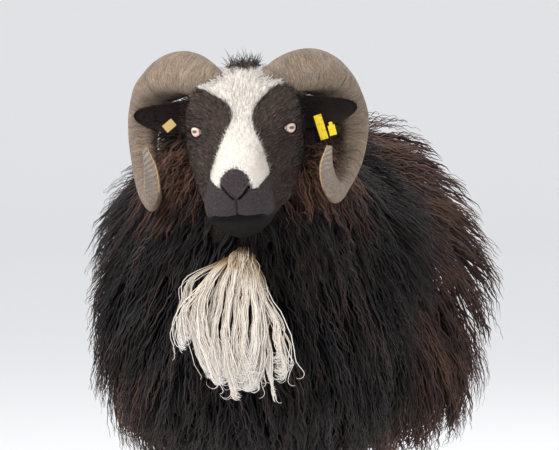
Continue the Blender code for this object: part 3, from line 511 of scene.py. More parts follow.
def fused(target, others):
    """Joins closed objects to target with one Boolean, and removes them."""
    collection = bpy.data.collections.new("pieces")
    bpy.context.scene.collection.children.link(collection)
    for other in others:
        collection.objects.link(other)
    boolean = target.modifiers.new("join", "BOOLEAN")
    boolean.operation, boolean.solver = "UNION", "MANIFOLD"
    boolean.operand_type, boolean.collection = "COLLECTION", collection
    graph = bpy.context.evaluated_depsgraph_get()
    mesh = bpy.data.meshes.new_from_object(target.evaluated_get(graph))
    target.modifiers.remove(boolean)
    target.data = mesh
    for other in others:
        bpy.data.objects.remove(other)
    bpy.data.collections.remove(collection)
    return target


skin = fused(head_skin, [body, dock, *ears, *legs])
skin.data.shade_smooth()


def points_of(piece):
    """A piece's points in the ram's own frame."""
    made = np.empty(len(piece.data.vertices) * 3)
    piece.data.vertices.foreach_get("co", made)
    return made.reshape(-1, 3) - HOME


def give(piece, name, values):
    """Stores one number for each point, for a material to read."""
    layer = piece.data.attributes.new(name, "FLOAT", "POINT")
    layer.data.foreach_set("value", np.asarray(values, np.float32))


# Markings: a white blaze, wide on the brow, narrow between the eyes and wide again over the
# muzzle round a dark nose cap, and four white socks. Each row is a height above the eyes and the
# blaze's right and left edges there, from the middle of the face, seen from straight ahead.
BLAZE = np.array((
    (-0.0740, -0.0270, 0.0185), (-0.0640, -0.0370, 0.0272), (-0.0560, -0.0405, 0.0318),
    (-0.0414, -0.0353, 0.0290), (-0.0232, -0.0279, 0.0245), (-0.0040, -0.0186, 0.0160),
    (0.0145, -0.0112, 0.0128), (0.0300, -0.0175, 0.0190), (0.0450, -0.0395, 0.0335),
    (0.0560, -0.0520, 0.0480), (0.0740, -0.0400, 0.0400), (0.0820, -0.0350, 0.0350),
))
BLAZE_LOW, BLAZE_HIGH, BLAZE_BACK = -0.0740, 0.079, 0.052
CAP_MIDDLE, CAP_HALF_WIDTH, CAP_LOW, CAP_TOP = -0.0085, 0.0185, -0.0680, -0.0490
SOCK_TOP, SOCK_FADE = 0.265, 0.03


def blaze_edge(points):
    """How far points of the head lie inside the blaze, in metres, and below 0 outside it."""
    x, y, z = turned(LEVEL.inverted(), points).T
    edges = through(BLAZE[:, 0], BLAZE[:, 1:], np.clip(z, BLAZE[0, 0], BLAZE[-1, 0]))
    inside = np.minimum(x - edges[:, 0], edges[:, 1] - x)
    inside = np.minimum(inside, np.minimum(BLAZE_HIGH - z, z - BLAZE_LOW) * 0.8)
    cap_up = np.maximum(0, z - CAP_LOW) / (CAP_TOP - CAP_LOW)
    reach = np.hypot((x - CAP_MIDDLE) / CAP_HALF_WIDTH, cap_up)
    inside = np.minimum(inside, (reach - 1) * CAP_HALF_WIDTH * 0.8)
    return np.minimum(inside, BLAZE_BACK - y)


skin_points = points_of(skin)
skin_height = skin_points[:, 2]
in_head = turned(HEAD.inverted(), skin_points)
on_head = (in_head[:, 1] < 0.235) & (np.abs(in_head[:, 0]) < 0.075) & (skin_height > 0.5)
give(skin, "blaze", np.where(on_head, blaze_edge(skin_points), -0.05))
sock = (skin_height < 0.43) * (1 - rise(skin_height, SOCK_TOP, SOCK_TOP + SOCK_FADE))
give(skin, "sock", sock)
give(skin, "muzzle", (1 - rise(in_head[:, 1], 0.015, 0.075)) * on_head)
# Near black: bare dark skin at the edges of the eyes, and painted shade in the nostrils' slits, under the
# upper lip and over the chin.
dark_skin_and_shade = np.zeros(len(skin_points))  # the dark, hairless edges of the eyes, nostrils and mouth
for side in (1, -1):
    local = turned(eye_frame(side).inverted(), skin_points)
    dark_skin_and_shade += (local[:, 1] > 0) * (1 - rise(lid_opening(side, local), 1.10, 1.40))
half = np.abs(in_head[:, 0] - swung(in_head[:, 1]))
slit, in_slit, _ = below_nostril(half, in_head[:, 2])
above = above_mouth(half, in_head[:, 1], in_head[:, 2])
# Painted shade: a dark band under the upper lip, where the lower lip lies back, the chin below it, and
# the inside of each nostril's slit.
lips = rise(-above, -0.0012, 0.0004) * (1 - rise(-above, 0.004, 0.011))
lips = lips * (1 - rise(half, 0.026, 0.034))
chin = 0.85 * rise(-above, 0.001, 0.004)
nostrils = hump(slit, 0.0008, 0.0020) * in_slit
dark_skin_and_shade += np.maximum(np.maximum(lips, chin), nostrils) * (in_head[:, 1] < 0.045) * on_head
from_middle = np.abs(turned(LEVEL.inverted(), skin_points)[:, 0])
ear_skin = (from_middle < 0.15) * (skin_height > 0.62)
dark_skin_and_shade += 0.7 * rise(from_middle, 0.062, 0.072) * ear_skin
give(skin, "dark_skin_and_shade", np.clip(dark_skin_and_shade, 0, 1))


def colour(code):
    """The linear colour of an sRGB hex code."""
    parts = [int(code[i : i + 2], 16) / 255 for i in (1, 3, 5)]
    return (*[c / 12.92 if c <= 0.04045 else ((c + 0.055) / 1.055) ** 2.4 for c in parts], 1.0)


def add(tree, kind, inputs=None, **settings):
    """Adds a node. inputs gives sockets, by name or place, a value or another node's output."""
    made = tree.nodes.new(kind)
    for key, value in settings.items():
        setattr(made, key, value)
    for socket, value in (inputs or {}).items():
        named = [each for each in made.inputs if each.name == socket and each.enabled]
        target = named[0] if named else made.inputs[socket]
        if isinstance(value, bpy.types.NodeSocket):
            tree.links.new(value, target)
        else:
            target.default_value = value
    return made


def blend(tree, factor, low, high):
    """The colour between two, each a hex code or another node's output."""
    ends = {"A": low, "B": high}
    ends = {key: colour(end) if isinstance(end, str) else end for key, end in ends.items()}
    return add(tree, "ShaderNodeMix", {"Factor": factor, **ends}, data_type="RGBA").outputs["Result"]


def new_finish(name, **values):
    """A material, its node tree and its shader, with values set on the shader's own sockets."""
    made = bpy.data.materials.new(name)
    made.use_nodes = True
    shader = made.node_tree.nodes["Principled BSDF"]
    for key, value in values.items():
        shader.inputs[key.replace("_", " ")].default_value = value
    return made, made.node_tree, shader


# Short, close hair on skin: near black and dull with a few pale flecks, white on the blaze and
# socks, and darker where it is bare round the eyes. It is painted darker still as shade in the
# nostrils, under the upper lip and on the chin. The hair is too fine to show singly, so coarser
# flecks 1.9 mm apart stand for it, over clouds of browner hair.
FLECK_MM, CLOUD_MM = 1.923, 33.33
RAGGED_EDGE, EDGE_BLUR = 0.006, 0.0006
short_hair, tree, shader = new_finish("short hair", Roughness=0.6, Specular_IOR_Level=0.08)
place = add(tree, "ShaderNodeTexCoord").outputs["Object"]
noise = {"Vector": place, "Scale": 1000 / FLECK_MM, "Detail": 3.0}
flecks = add(tree, "ShaderNodeTexNoise", noise).outputs["Fac"]
noise = {"Vector": place, "Scale": 1000 / CLOUD_MM, "Detail": 4.0}
clouds = add(tree, "ShaderNodeTexNoise", noise).outputs["Fac"]
blaze, sock, muzzle, dark_skin_and_shade = (
    add(tree, "ShaderNodeAttribute", attribute_name=key).outputs["Fac"]
    for key in ("blaze", "sock", "muzzle", "dark_skin_and_shade")
)
ragged = add(tree, "ShaderNodeMath", {0: flecks, 1: -0.5}, operation="ADD").outputs[0]
edge = {0: ragged, 1: RAGGED_EDGE, 2: blaze}
edge = add(tree, "ShaderNodeMath", edge, operation="MULTIPLY_ADD").outputs[0]
span = {"Value": edge, "From Min": -EDGE_BLUR, "From Max": EDGE_BLUR}
inside = add(tree, "ShaderNodeMapRange", span).outputs[0]
white = add(tree, "ShaderNodeMath", {0: inside, 1: sock}, operation="MAXIMUM").outputs[0]
span = {"Value": flecks, "From Min": 0.45, "From Max": 0.75, "To Max": 0.30}
speck = add(tree, "ShaderNodeMapRange", span).outputs[0]
dark = blend(tree, clouds, "#1b1617", "#463831")
# Greyer on the muzzle: partly its own colour, partly a painted sheen.
dark = blend(tree, muzzle, dark, "#363134")
dark = blend(tree, speck, dark, "#6b5f5a")
# Near black where bare round the eyes, and as painted shade in the nostrils, under the upper lip and on
# the chin.
dark = blend(tree, dark_skin_and_shade, dark, "#0b090a")
pale = blend(tree, clouds, "#e4dcd3", "#d5cabf")
tree.links.new(blend(tree, white, dark, pale), shader.inputs["Base Color"])
nap = add(tree, "ShaderNodeBump", {"Height": flecks, "Strength": 0.45, "Distance": 0.0012})
tree.links.new(nap.outputs[0], shader.inputs["Normal"])
skin.data.materials.clear()
skin.data.materials.append(short_hair)
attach(skin, "root")
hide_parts("head", "neck", "torso", "tail", "ear_left", "ear_right",
            "foreleg_left", "foreleg_right", "hindleg_left", "hindleg_right")


# Eyes: wet balls held by the lids, with a clear bulge over the front. The iris is pale with a dark
# line round it, and the pupil is a level, blue-grey slot.

IRIS_RADIUS = 0.0080
PUPIL_HALF_WIDTH, PUPIL_HALF_HEIGHT = 0.0042, 0.0021
CORNEA_BULGE = 0.0006


def add_ramp(tree, value, *stops):
    """Adds a node that blends colours, each given with its place from 0 to 1."""
    made = add(tree, "ShaderNodeValToRGB", {"Fac": value})
    elements = made.color_ramp.elements
    elements[0].position, elements[1].position = 0, 1
    for place, code in stops:
        end = {0: elements[0], 1: elements[-1]}.get(place)
        (end or elements.new(place)).color = colour(code)
    return made


def ellipse(half_width, half_height):
    """How far out a place on the eye is, where 1 is on the ellipse."""
    squares = []
    for place, reach in ((gaze_x, half_width), (gaze_z, half_height)):
        part = add(tree, "ShaderNodeMath", {0: place, 1: reach}, operation="DIVIDE").outputs[0]
        squares.append(add(tree, "ShaderNodeMath", {0: part, 1: 2.0}, operation="POWER").outputs[0])
    total = add(tree, "ShaderNodeMath", dict(enumerate(squares)), operation="ADD").outputs[0]
    return add(tree, "ShaderNodeMath", {0: total}, operation="SQRT").outputs[0]


# Wet eyeball: the clear, wet front gives a small sharp glint over a pale pink-brown ring.
eyeball, tree, shader = new_finish(
    "wet eyeball", Roughness=0.06, IOR=1.38, Coat_Weight=1.0, Coat_Roughness=0.02
)
gaze_x, gaze_z = (
    add(tree, "ShaderNodeAttribute", attribute_name=key).outputs["Fac"] for key in ("gaze_x", "gaze_z")
)
iris = add_ramp(tree, ellipse(IRIS_RADIUS, IRIS_RADIUS), (0.0, "#e9c2a6"), (0.55, "#f0cfb4"),
                (0.85, "#dba98c"), (0.97, "#6c5a58"), (1.0, "#cfc3bd"))
pupil = ellipse(PUPIL_HALF_WIDTH, PUPIL_HALF_HEIGHT)
slot_edge = add(tree, "ShaderNodeMapRange", {"Value": pupil, "From Min": 0.75, "From Max": 1.35})
seen = blend(tree, slot_edge.outputs[0], "#3d4a66", iris.outputs["Color"])
tree.links.new(seen, shader.inputs["Base Color"])

for side_name, side in (("left", 1), ("right", -1)):
    polar = np.linspace(0.02, np.pi - 0.02, 60)[:, None]
    turn = np.linspace(0, 2 * np.pi, 72, endpoint=False)[None, :]
    radius = EYE_RADIUS + CORNEA_BULGE * hump(polar, 0, 0.5)
    flat = radius * np.sin(polar)
    ball = np.stack((flat * np.cos(turn), radius * np.cos(polar) + 0 * turn, flat * np.sin(turn)), axis=2)
    points, triangles = skin_over(ball, (0, EYE_RADIUS + CORNEA_BULGE, 0), (0, -EYE_RADIUS, 0))
    placed = turned(eye_frame(side), points)
    eye_piece = new_piece("eyeball_" + side_name, placed, triangles, eyeball)
    behind = np.where(points[:, 1] < 0, 1.0, 0.0)
    give(eye_piece, "gaze_x", points[:, 0] + behind)
    give(eye_piece, "gaze_z", points[:, 2])
    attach(eye_piece, "root")
    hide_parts("eye_" + side_name)


# Horns: sheaths of horn over bone that grows out of the skull, thick, weathered and grey-brown,
# with close growth wrinkles round them and flattened, paler, rubbed tips. Each coils back, down
# and forwards round the ear.

HORN_CENTRE_BACK, HORN_CENTRE_DOWN, HORN_COIL = 0.050, 0.008, 0.077
HORN_FROM = math.radians(66)
HORN_TO = {"left": math.radians(346), "right": math.radians(352)}
HORN_ROOT_SHARE, HORN_ROOT_DEPTH, HORN_ROOT_BACK = 0.17, 0.012, 0.013
HORN_PLACES = (0.0, 0.05, 0.12, 0.20, 0.29, 0.38, 0.50, 0.63, 0.81, 0.92, 1.0)
HORN_OUT = {
    "left": (0.020, 0.045, 0.081, 0.111, 0.127, 0.1355, 0.130, 0.115, 0.1055, 0.1015, 0.107),
    "right": (0.021, 0.046, 0.076, 0.112, 0.1285, 0.1355, 0.134, 0.1265, 0.119, 0.117, 0.1225),
}
HORN_DEPTH = (0.012, 0.0225, 0.0283, 0.0275, 0.0245, 0.0215, 0.0185, 0.0155, 0.0125, 0.0110, 0.0035)
HORN_THICK = (0.012, 0.0225, 0.0270, 0.0255, 0.0220, 0.0185, 0.0165, 0.0150, 0.0110, 0.0085, 0.0035)
HORN_ARCH = {"left": 0.0, "right": 0.0040}  # how much higher an arch stands
HORN_STEPS, HORN_SIDES = 440, 56
# The front of each tip has been sawn flat, from SAWN_FROM of the length on.
SAWN_FROM, SAWN_FULL, SAWN_DEEP = 0.775, 0.86, 0.20
# Wrinkles: distance from one to the next and between spells of high ones, and where the deeper
# grooves lie along the horn. Their height and depth are shares of the horn's radius.
WRINKLE_APART, WRINKLE_SPELL, WRINKLE_HIGH, GROOVE_DEEP = 0.0036, 0.0230, 0.008, 0.030
GROWTH_SPELLS = (0.105, 0.150, 0.178, 0.206, 0.229, 0.250, 0.268, 0.285, 0.301, 0.316)


def horn_line(side_name, side, share):
    """Points on the middle line of a horn."""
    angle = HORN_FROM + (HORN_TO[side_name] - HORN_FROM) * share
    backward = HORN_CENTRE_BACK - HORN_COIL * np.cos(angle)
    up = HORN_COIL * np.sin(angle) - HORN_CENTRE_DOWN
    near_root = (1 - np.minimum(1, share / HORN_ROOT_SHARE)) ** 2
    backward, up = backward + HORN_ROOT_BACK * near_root, up - HORN_ROOT_DEPTH * near_root
    up += HORN_ARCH[side_name] * hump(share, 0.17, 0.16)
    out = side * through(HORN_PLACES, HORN_OUT[side_name], share)[:, 0]
    return turned(LEVEL, np.stack((out, backward, up), axis=1))


# Weathered horn: grown in layers, greyed and crumbly outside. It gives a dull grey-brown with
# fine darker lines round the coil, paler crumbs, and a rubbed and peeling face at the tip.
LINE_MM, LINE_LONG_MM, CRUMB_MM, BLOTCH_MM = 1.1765, 13.333, 2.381, 23.81
weathered_horn, tree, shader = new_finish("weathered horn", Roughness=0.55, Specular_IOR_Level=0.4)
groove, sawn, peeling = (
    add(tree, "ShaderNodeAttribute", attribute_name=key).outputs["Fac"]
    for key in ("groove", "sawn", "peeling")
)
wrapped = add(tree, "ShaderNodeAttribute", attribute_name="wrapped").outputs["Vector"]
per_metre = (1000 / LINE_LONG_MM, 1000 / LINE_LONG_MM, 1000 / LINE_MM)
squeezed = add(tree, "ShaderNodeMapping", {"Vector": wrapped, "Scale": per_metre}).outputs[0]
noise = {"Vector": squeezed, "Scale": 1.0, "Detail": 5.0, "Roughness": 0.7, "Distortion": 0.6}
lines = add(tree, "ShaderNodeTexNoise", noise).outputs["Fac"]
noise = {"Vector": wrapped, "Scale": 1000 / CRUMB_MM, "Detail": 4.0, "Roughness": 0.7}
crumbs = add(tree, "ShaderNodeTexNoise", noise).outputs["Fac"]
noise = {"Vector": wrapped, "Scale": 1000 / BLOTCH_MM, "Detail": 3.0}
blotches = add(tree, "ShaderNodeTexNoise", noise).outputs["Fac"]
span = {"Value": lines, "From Min": 0.38, "From Max": 0.60}
streak = add(tree, "ShaderNodeMapRange", span).outputs[0]
span = {"Value": crumbs, "From Min": 0.52, "From Max": 0.70, "To Max": 0.6}
spots = add(tree, "ShaderNodeMapRange", span).outputs[0]
base = blend(tree, blotches, "#766c63", "#b09577")
base = blend(tree, streak, "#5c5149", base)
base = blend(tree, spots, base, "#b89e80")
# Darker in the troughs of the wrinkles and in the grooves between spells of growth.
base = blend(tree, groove, base, "#3d342e")
face = blend(tree, crumbs, "#6a6058", "#bfae9c")
face = blend(tree, streak, "#7b7066", face)
base = blend(tree, sawn, base, face)
base = blend(tree, peeling, base, "#d2a877")
tree.links.new(base, shader.inputs["Base Color"])
rough = add(tree, "ShaderNodeMath", {0: lines, 1: crumbs}, operation="ADD").outputs[0]
grain = add(tree, "ShaderNodeBump", {"Height": rough, "Strength": 0.8, "Distance": 0.0014})
tree.links.new(grain.outputs[0], shader.inputs["Normal"])

draw = np.random.default_rng(5)
horn_lines = []
for side_name, side in (("left", 1), ("right", -1)):
    share = np.linspace(0, 0.999, HORN_STEPS)
    line = horn_line(side_name, side, share)
    ahead_line = horn_line(side_name, side, share + 0.004) - line
    along = ahead_line / np.linalg.norm(ahead_line, axis=1, keepdims=True)
    axis = np.array(LEVEL.to_3x3() @ Vector((1, 0, 0)))
    inward = np.cross(along, axis)
    inward /= np.linalg.norm(inward, axis=1, keepdims=True)
    across = np.cross(inward, along)
    depth = through(HORN_PLACES, HORN_DEPTH, share)
    thick = through(HORN_PLACES, HORN_THICK, share)
    turn = np.linspace(0, 2 * np.pi, HORN_SIDES, endpoint=False)[None, :]
    flat = 1 - 0.10 * np.cos(3 * turn)
    # Wrinkles: low, uneven waves with a deeper groove at each spell of growth.
    steps = np.linalg.norm(np.diff(line, axis=0), axis=1)
    travel = np.concatenate(([0], np.cumsum(steps)))[:, None]
    wander = 0.0016 * np.sin(2 * turn + 1) + 0.0012 * np.sin(5 * turn + 50 * travel)
    wander = wander + 0.0008 * np.sin(9 * turn - 70 * travel)
    waves = np.sin(2 * np.pi * (travel + wander) / WRINKLE_APART + 2.6 * np.sin(travel * 110))
    waves = waves * (0.5 + 0.5 * np.sin(2 * np.pi * (travel + 2 * wander) / WRINKLE_SPELL + turn))
    spells = np.zeros_like(waves)
    for spell in GROWTH_SPELLS:
        spell_depth = draw.uniform(0.3, 1.0)
        spells += spell_depth * hump(travel + wander, spell + draw.uniform(-0.004, 0.004), 0.0009)
    fade = 1 - rise(share[:, None], 0.78, 0.90)
    lumps = 0.015 * np.sin(travel * 75 + np.sin(2 * turn)) * fade
    swell = 1 + (WRINKLE_HIGH * waves - GROOVE_DEEP * spells) * fade + lumps
    radial = depth * np.cos(turn) * flat * swell
    sideways = thick * np.sin(turn) * flat * swell
    sawn = rise(share[:, None], SAWN_FROM, SAWN_FULL)
    limit = -depth * (1.15 + (SAWN_DEEP - 1.15) * sawn)
    on_cut = radial < limit
    radial = np.maximum(radial, limit + 0.0006 * np.sin(travel * 900 + 3 * turn) * sawn)
    rings = line[:, None] + inward[:, None] * radial[:, :, None]
    rings = rings + across[:, None] * sideways[:, :, None]
    tip = horn_line(side_name, side, np.array([1.0]))[0]
    horn_piece = new_piece("horn_coil_" + side_name, *skin_over(rings, None, tip), weathered_horn)
    edge = np.abs(np.cos(turn) + 0.28) < 0.20
    for key, values in (
        ("groove", np.clip(0.30 * np.maximum(0, -waves) + 0.8 * spells, 0, 1) * fade),
        ("sawn", on_cut * sawn),
        ("peeling", edge * sawn * (np.sin(turn) * side < 0)),
    ):
        give(horn_piece, key, np.append(values.ravel(), (0, 0)))  # the last two points are the ends
    wrapping = np.stack((depth * np.cos(turn), thick * np.sin(turn), travel + wander), axis=2)
    wrapping = np.vstack((wrapping.reshape(-1, 3), np.zeros((2, 3))))
    layer = horn_piece.data.attributes.new("wrapped", "FLOAT_VECTOR", "POINT")
    layer.data.foreach_set("vector", wrapping.astype(np.float32).ravel())
    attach(horn_piece, "root")
    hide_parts("horn_" + side_name)
    horn_lines.append((line[::8], np.maximum(depth, thick)[::8, 0]))


# Wool: a double coat, black in front with a slight blue that is a painted sheen, and bleached
# brown on the flanks and back. Broad, soft under-locks give it body, long wavy fibres lie over
# them in clumps, and short brown curls fill the ruff behind the cheeks.

UV_PATCH = 0.003  # how far one strand reaches on the map
STRAY_SHARE = 0.08  # strands that leave their lock
FLEECE_RISE = 0.32  # how far the locks of the back pass the wool's depth, as a share of it


def lie_step(share, angle, depth, length, drift):
    """The next share and angle after a step down along the lie of the wool."""
    small = 0.004
    here = trunk_point(share, angle, depth)
    near_end = share + small > 1
    step = np.where(near_end, -small, small)
    ahead = (trunk_point(share + step, angle, depth) - here) / step[..., None]
    around = (trunk_point(share, angle + small, depth) - here) / small
    outward = np.sign(np.sin(angle)) * (0.6 * np.maximum(0, np.cos(angle)) + 0.10) + drift
    backward = 0.28 + 0.75 * np.maximum(0, np.cos(angle)) ** 2 * (1 - 0.6 * rise(share, 0.6, 0.8))
    lie = np.stack((outward, backward, np.full_like(share, -1.0)), axis=-1)
    lie /= np.linalg.norm(lie, axis=-1, keepdims=True)
    aa, ab, bb = (ahead * ahead).sum(-1), (ahead * around).sum(-1), (around * around).sum(-1)
    la, lb = (lie * ahead).sum(-1), (lie * around).sum(-1)
    det = aa * bb - ab * ab
    step_share, step_angle = (la * bb - lb * ab) / det, (lb * aa - la * ab) / det
    travel = np.linalg.norm(ahead * step_share[..., None] + around * step_angle[..., None], axis=-1)
    scale = length * np.minimum(1, 1.8 * travel) / np.maximum(travel, 1e-6)
    return np.clip(share + step_share * scale, 0.004, 0.995), angle + step_angle * scale


def grow(share, angle, length, start, end, steps, drift):
    """Paths down the lie of the wool, and the directions that they face."""
    path, facing = [], []
    for k in range(steps + 1):
        depth = start + (end - start) * (1 - (1 - k / steps) ** 1.55)
        point = trunk_point(share, angle, depth)
        path.append(point)
        out = point - trunk_point(share, angle, depth - 0.1)
        facing.append(out / np.linalg.norm(out, axis=-1, keepdims=True))
        share, angle = lie_step(share, angle, depth, length / steps, drift)
    return np.stack(path, axis=1), np.stack(facing, axis=1)


def strand_mesh(path, facing, width, thick):
    """Points and triangles of three-sided strands: flat behind, ridged ahead, closed at both ends."""
    count, steps = path.shape[0], path.shape[1] - 1
    travel = np.gradient(path, axis=1)
    travel /= np.maximum(np.linalg.norm(travel, axis=2, keepdims=True), 1e-9)
    across = np.cross(travel, facing)
    across /= np.maximum(np.linalg.norm(across, axis=2, keepdims=True), 1e-9)
    up = np.cross(across, travel)
    t = np.linspace(0, 1, steps + 1)
    taper = (0.75 + 0.25 * rise(t, 0, 0.3)) * (1 - 0.62 * rise(t, 0.35, 1.0))
    half = across * (width[:, None] * taper)[:, :, None] / 2
    lift = up * (thick[:, None] * taper)[:, :, None]
    rings = np.stack((path - half, path + lift, path + half), axis=2)[:, :-1]
    points = np.concatenate((rings.reshape(count, -1, 3), path[:, -1:]), axis=1)
    faces = [(0, 2, 1)]
    for k in range(steps - 1):
        for i in range(3):
            a, b = 3 * k + i, 3 * k + (i + 1) % 3
            faces += [(a, b, b + 3), (a, b + 3, a + 3)]
    last = 3 * (steps - 1)
    faces += [(last + i, last + (i + 1) % 3, last + 3) for i in range(3)]
    faces = np.array(faces)[None] + (np.arange(count) * (3 * steps + 1))[:, None, None]
    along = np.append(np.repeat(t[:-1], 3), 1.0)
    beside = np.append(np.tile((-0.5, 0.0, 0.5), steps), 0.0)
    return points.reshape(-1, 3), faces.reshape(-1, 3), along, beside


def strand_piece(name, path, facing, width, thick, finish, root_uv, **values):
    """One object of many strands, with their places in OFBake and a value each for the material."""
    points, triangles, along, beside = strand_mesh(path, facing, width, thick)
    made = new_piece(name, points, triangles, finish)
    u = root_uv[:, :1] + UV_PATCH * beside[None]
    v = root_uv[:, 1:] + UV_PATCH * along[None]
    places = np.stack((u.ravel(), v.ravel()), axis=1)[triangles.ravel()]
    layer = made.data.uv_layers.new(name="OFBake")
    layer.data.foreach_set("uv", places.astype(np.float32).ravel())
    give(made, "tipward", np.tile(along, len(path)))
    for key, value in values.items():
        give(made, key, np.repeat(value, len(along)))
    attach(made, "root")
    return made


def wool_finish(name, dark_codes, brown_codes):
    """Wool fibre as grown: each strand has its own shade and bleaching, most at its tip."""
    made, tree, shader = new_finish(name, Roughness=0.48, Specular_IOR_Level=0.27)
    bleach, shade, tipward = (
        add(tree, "ShaderNodeAttribute", attribute_name=key).outputs["Fac"]
        for key in ("bleach", "shade", "tipward")
    )
    tips = add(tree, "ShaderNodeMath", {0: tipward, 1: 3.0}, operation="POWER").outputs[0]
    part = {0: tips, 1: TIP_BLEACH, 2: bleach}
    part = add(tree, "ShaderNodeMath", part, operation="MULTIPLY_ADD", use_clamp=True).outputs[0]
    dark, brown = blend(tree, shade, *dark_codes), blend(tree, shade, *brown_codes)
    tree.links.new(blend(tree, part, dark, brown), shader.inputs["Base Color"])
    return made


# Under wool: short, dense fibre, coloured darker than the long wool as painted shade, so the gaps between
# the locks look deep and dark.
# Greasy wool: long fibre with a faint grease shine, black with a slight blue that is a painted sheen, or
# red-brown where it is bleached.
TIP_BLEACH = 0.18
under_wool = wool_finish("under wool", ("#050506", "#131316"), ("#2b1b15", "#573b2f"))
top_wool = wool_finish("greasy wool", ("#08080a", "#28282d"), ("#33211b", "#86614f"))

draw = np.random.default_rng(3)


def scatter(count, weight):
    """Places on the trunk, spread by area times weight(share, angle)."""
    shares, angles = np.linspace(0.004, 0.985, 90), np.linspace(-np.pi, np.pi, 120, endpoint=False)
    grid = np.meshgrid(shares, angles, indexing="ij")
    at = trunk_point(*grid, np.full_like(grid[0], 0.9))
    ahead = np.gradient(at, axis=0)
    around = np.roll(at, -1, axis=1) - at
    area = np.linalg.norm(np.cross(ahead, around), axis=2) * weight(*grid)
    order = draw.choice(area.size, size=count, p=area.ravel() / area.sum())
    i, j = np.unravel_index(order, area.shape)
    share = shares[i] + draw.uniform(-0.5, 0.5, count) * (shares[1] - shares[0])
    angle = angles[j] + draw.uniform(0, 1, count) * (angles[1] - angles[0])
    return np.clip(share, 0.003, 0.99), angle


def coat_weight(share, angle):
    """How closely locks grow: closest on the chest and the neck, thinnest under the belly."""
    facing_front = 1 + 0.9 * rise(share, 0.45, 0.62)
    under = 1 - 0.40 * rise(np.abs(angle), 2.6, 3.0) * (1 - rise(share, 0.5, 0.7))
    return facing_front * under * (1 + 0.8 * rise(share, 0.78, 0.95))


def front_weight(share, angle):
    """The same with more of them in front."""
    return coat_weight(share, angle) * (1 + 0.6 * rise(share, 0.45, 0.62))


def ruff_weight(share, angle):
    """Locks on both sides of the upper neck only."""
    beside_face = rise(np.abs(angle), 0.3, 0.7) * (1 - rise(np.abs(angle), 2.5, 2.9))
    return rise(share, 0.80, 0.88) * beside_face


def wavy_locks(locks, each, steps, weight, spread, long, crimp, reach, start, end):
    """Clumps of strands that share their waves: paths, ways they face, roots, and lock of each.

    In metres: spread between a lock's roots, length, length of one wave and its height.
    start and end are ranges of depth in the coat.
    """
    lock_share, lock_angle = scatter(locks, weight)
    of = np.repeat(np.arange(locks), each)
    count = len(of)
    finer = (1 - 0.55 * rise(lock_share, 0.76, 0.93))[of]
    share0, angle0 = lock_share[of], lock_angle[of]
    small, halfway = 0.004, np.full(count, 0.7)
    here = trunk_point(share0, angle0, halfway)
    ahead = trunk_point(share0 - small, angle0, halfway) - here
    around = trunk_point(share0, angle0 + small, halfway) - here
    per_share, per_angle = (np.linalg.norm(step, axis=1) / small for step in (ahead, around))
    offset = draw.normal(0, 1, (count, 2)) * (spread * finer)[:, None]
    share1 = np.clip(share0 + offset[:, 0] / np.maximum(per_share, 0.2), 0.003, 0.992)
    angle1 = angle0 + offset[:, 1] / np.maximum(per_angle, 0.05)
    lock_long = long * draw.uniform(0.8, 1.2, locks) * (1 - 0.25 * rise(np.abs(lock_angle), 2.0, 2.8))
    length = lock_long[of] * finer * draw.uniform(0.85, 1.1, count)
    drift = draw.normal(0, 0.16, locks)[of] + draw.normal(0, 0.05, count)
    stray = draw.random(count) < STRAY_SHARE
    # Over the back and the shoulders the fleece stands highest.
    swell = FLEECE_RISE * rise(np.cos(angle1), 0.22, 0.66)
    swell = swell * (0.4 + 0.6 * rise(np.abs(angle1), 0.15, 0.50))
    swell *= (1 - 0.8 * rise(share1, 0.76, 0.90)) * rise(share1, 0.0, 0.15)
    swell *= 1 - 0.55 * rise(np.abs(angle1), 0.40, 0.90) * (1 - rise(share1, 0.45, 0.60))
    deep = draw.uniform(*start, count) + 0.45 * swell
    tip = draw.uniform(*end, locks)[of] + draw.normal(0, 0.03, count) + 0.05 * stray
    tip = np.clip(tip, 0.45, 1.05) + swell
    own, facing = grow(share1, angle1, length, deep, tip, steps, drift)
    guide, _ = grow(share0, angle0, length, deep, tip, steps, drift)
    t = np.linspace(0, 1, steps + 1)[None, :]
    close = np.where(stray, 0.1, draw.uniform(0.60, 0.95, count))[:, None] * t**1.2
    path = own + (guide - own) * close[:, :, None]
    travel = np.gradient(path, axis=1)
    travel /= np.linalg.norm(travel, axis=2, keepdims=True)
    beside = np.cross(travel, facing)
    phase = draw.uniform(0, 2 * np.pi, locks)[of] + draw.normal(0, 0.35, count)
    waves = length / crimp * draw.uniform(0.8, 1.25, locks)[of]
    wave = 2 * np.pi * waves[:, None] * t + phase[:, None]
    height = (reach * draw.uniform(0.6, 1.3, count))[:, None] * rise(t, -0.05, 0.25) * (1 - 0.35 * t)
    path = path + beside * (height * np.sin(wave))[:, :, None]
    path = path + facing * (0.7 * height * np.cos(wave))[:, :, None]
    return path, facing, share1, angle1, of


def clear_of_head(path):
    """Whether strands keep out of the face and the horns, past their roots, and off the ear tags."""
    local = turned(HEAD.inverted(), path[:, 2:].reshape(-1, 3))
    at = np.clip(local[:, 1], 0, HEAD_STATIONS[-1][0])
    sizes = [(s[1], s[3][0], s[5]) for s in HEAD_STATIONS]
    top, wide, low = through([s[0] for s in HEAD_STATIONS], sizes, at).T
    middle, tall = (top + low) / 2, (top - low) / 2
    inside = (local[:, 0] / (wide + 0.002)) ** 2 + ((local[:, 2] - middle) / (tall + 0.002)) ** 2 < 1
    inside &= (local[:, 1] > -0.02) & (local[:, 1] < 0.205)
    clear = ~inside.reshape(len(path), -1).any(axis=1)
    for line, radius in horn_lines:
        for centre, size in zip(line, radius):
            clear &= (np.linalg.norm(path[:, 2:] - centre, axis=2) > 0.88 * size).all(axis=1)
    for node in ("ear_tag_left_bar", "ear_tag_left_button", "ear_tag_right"):
        low, high = (np.array(corner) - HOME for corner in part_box(node))
        low, high = low - (0.003, 0.030, 0.003), high + 0.003
        clear &= ~((path > low) & (path < high)).all(axis=2).any(axis=1)
    return clear


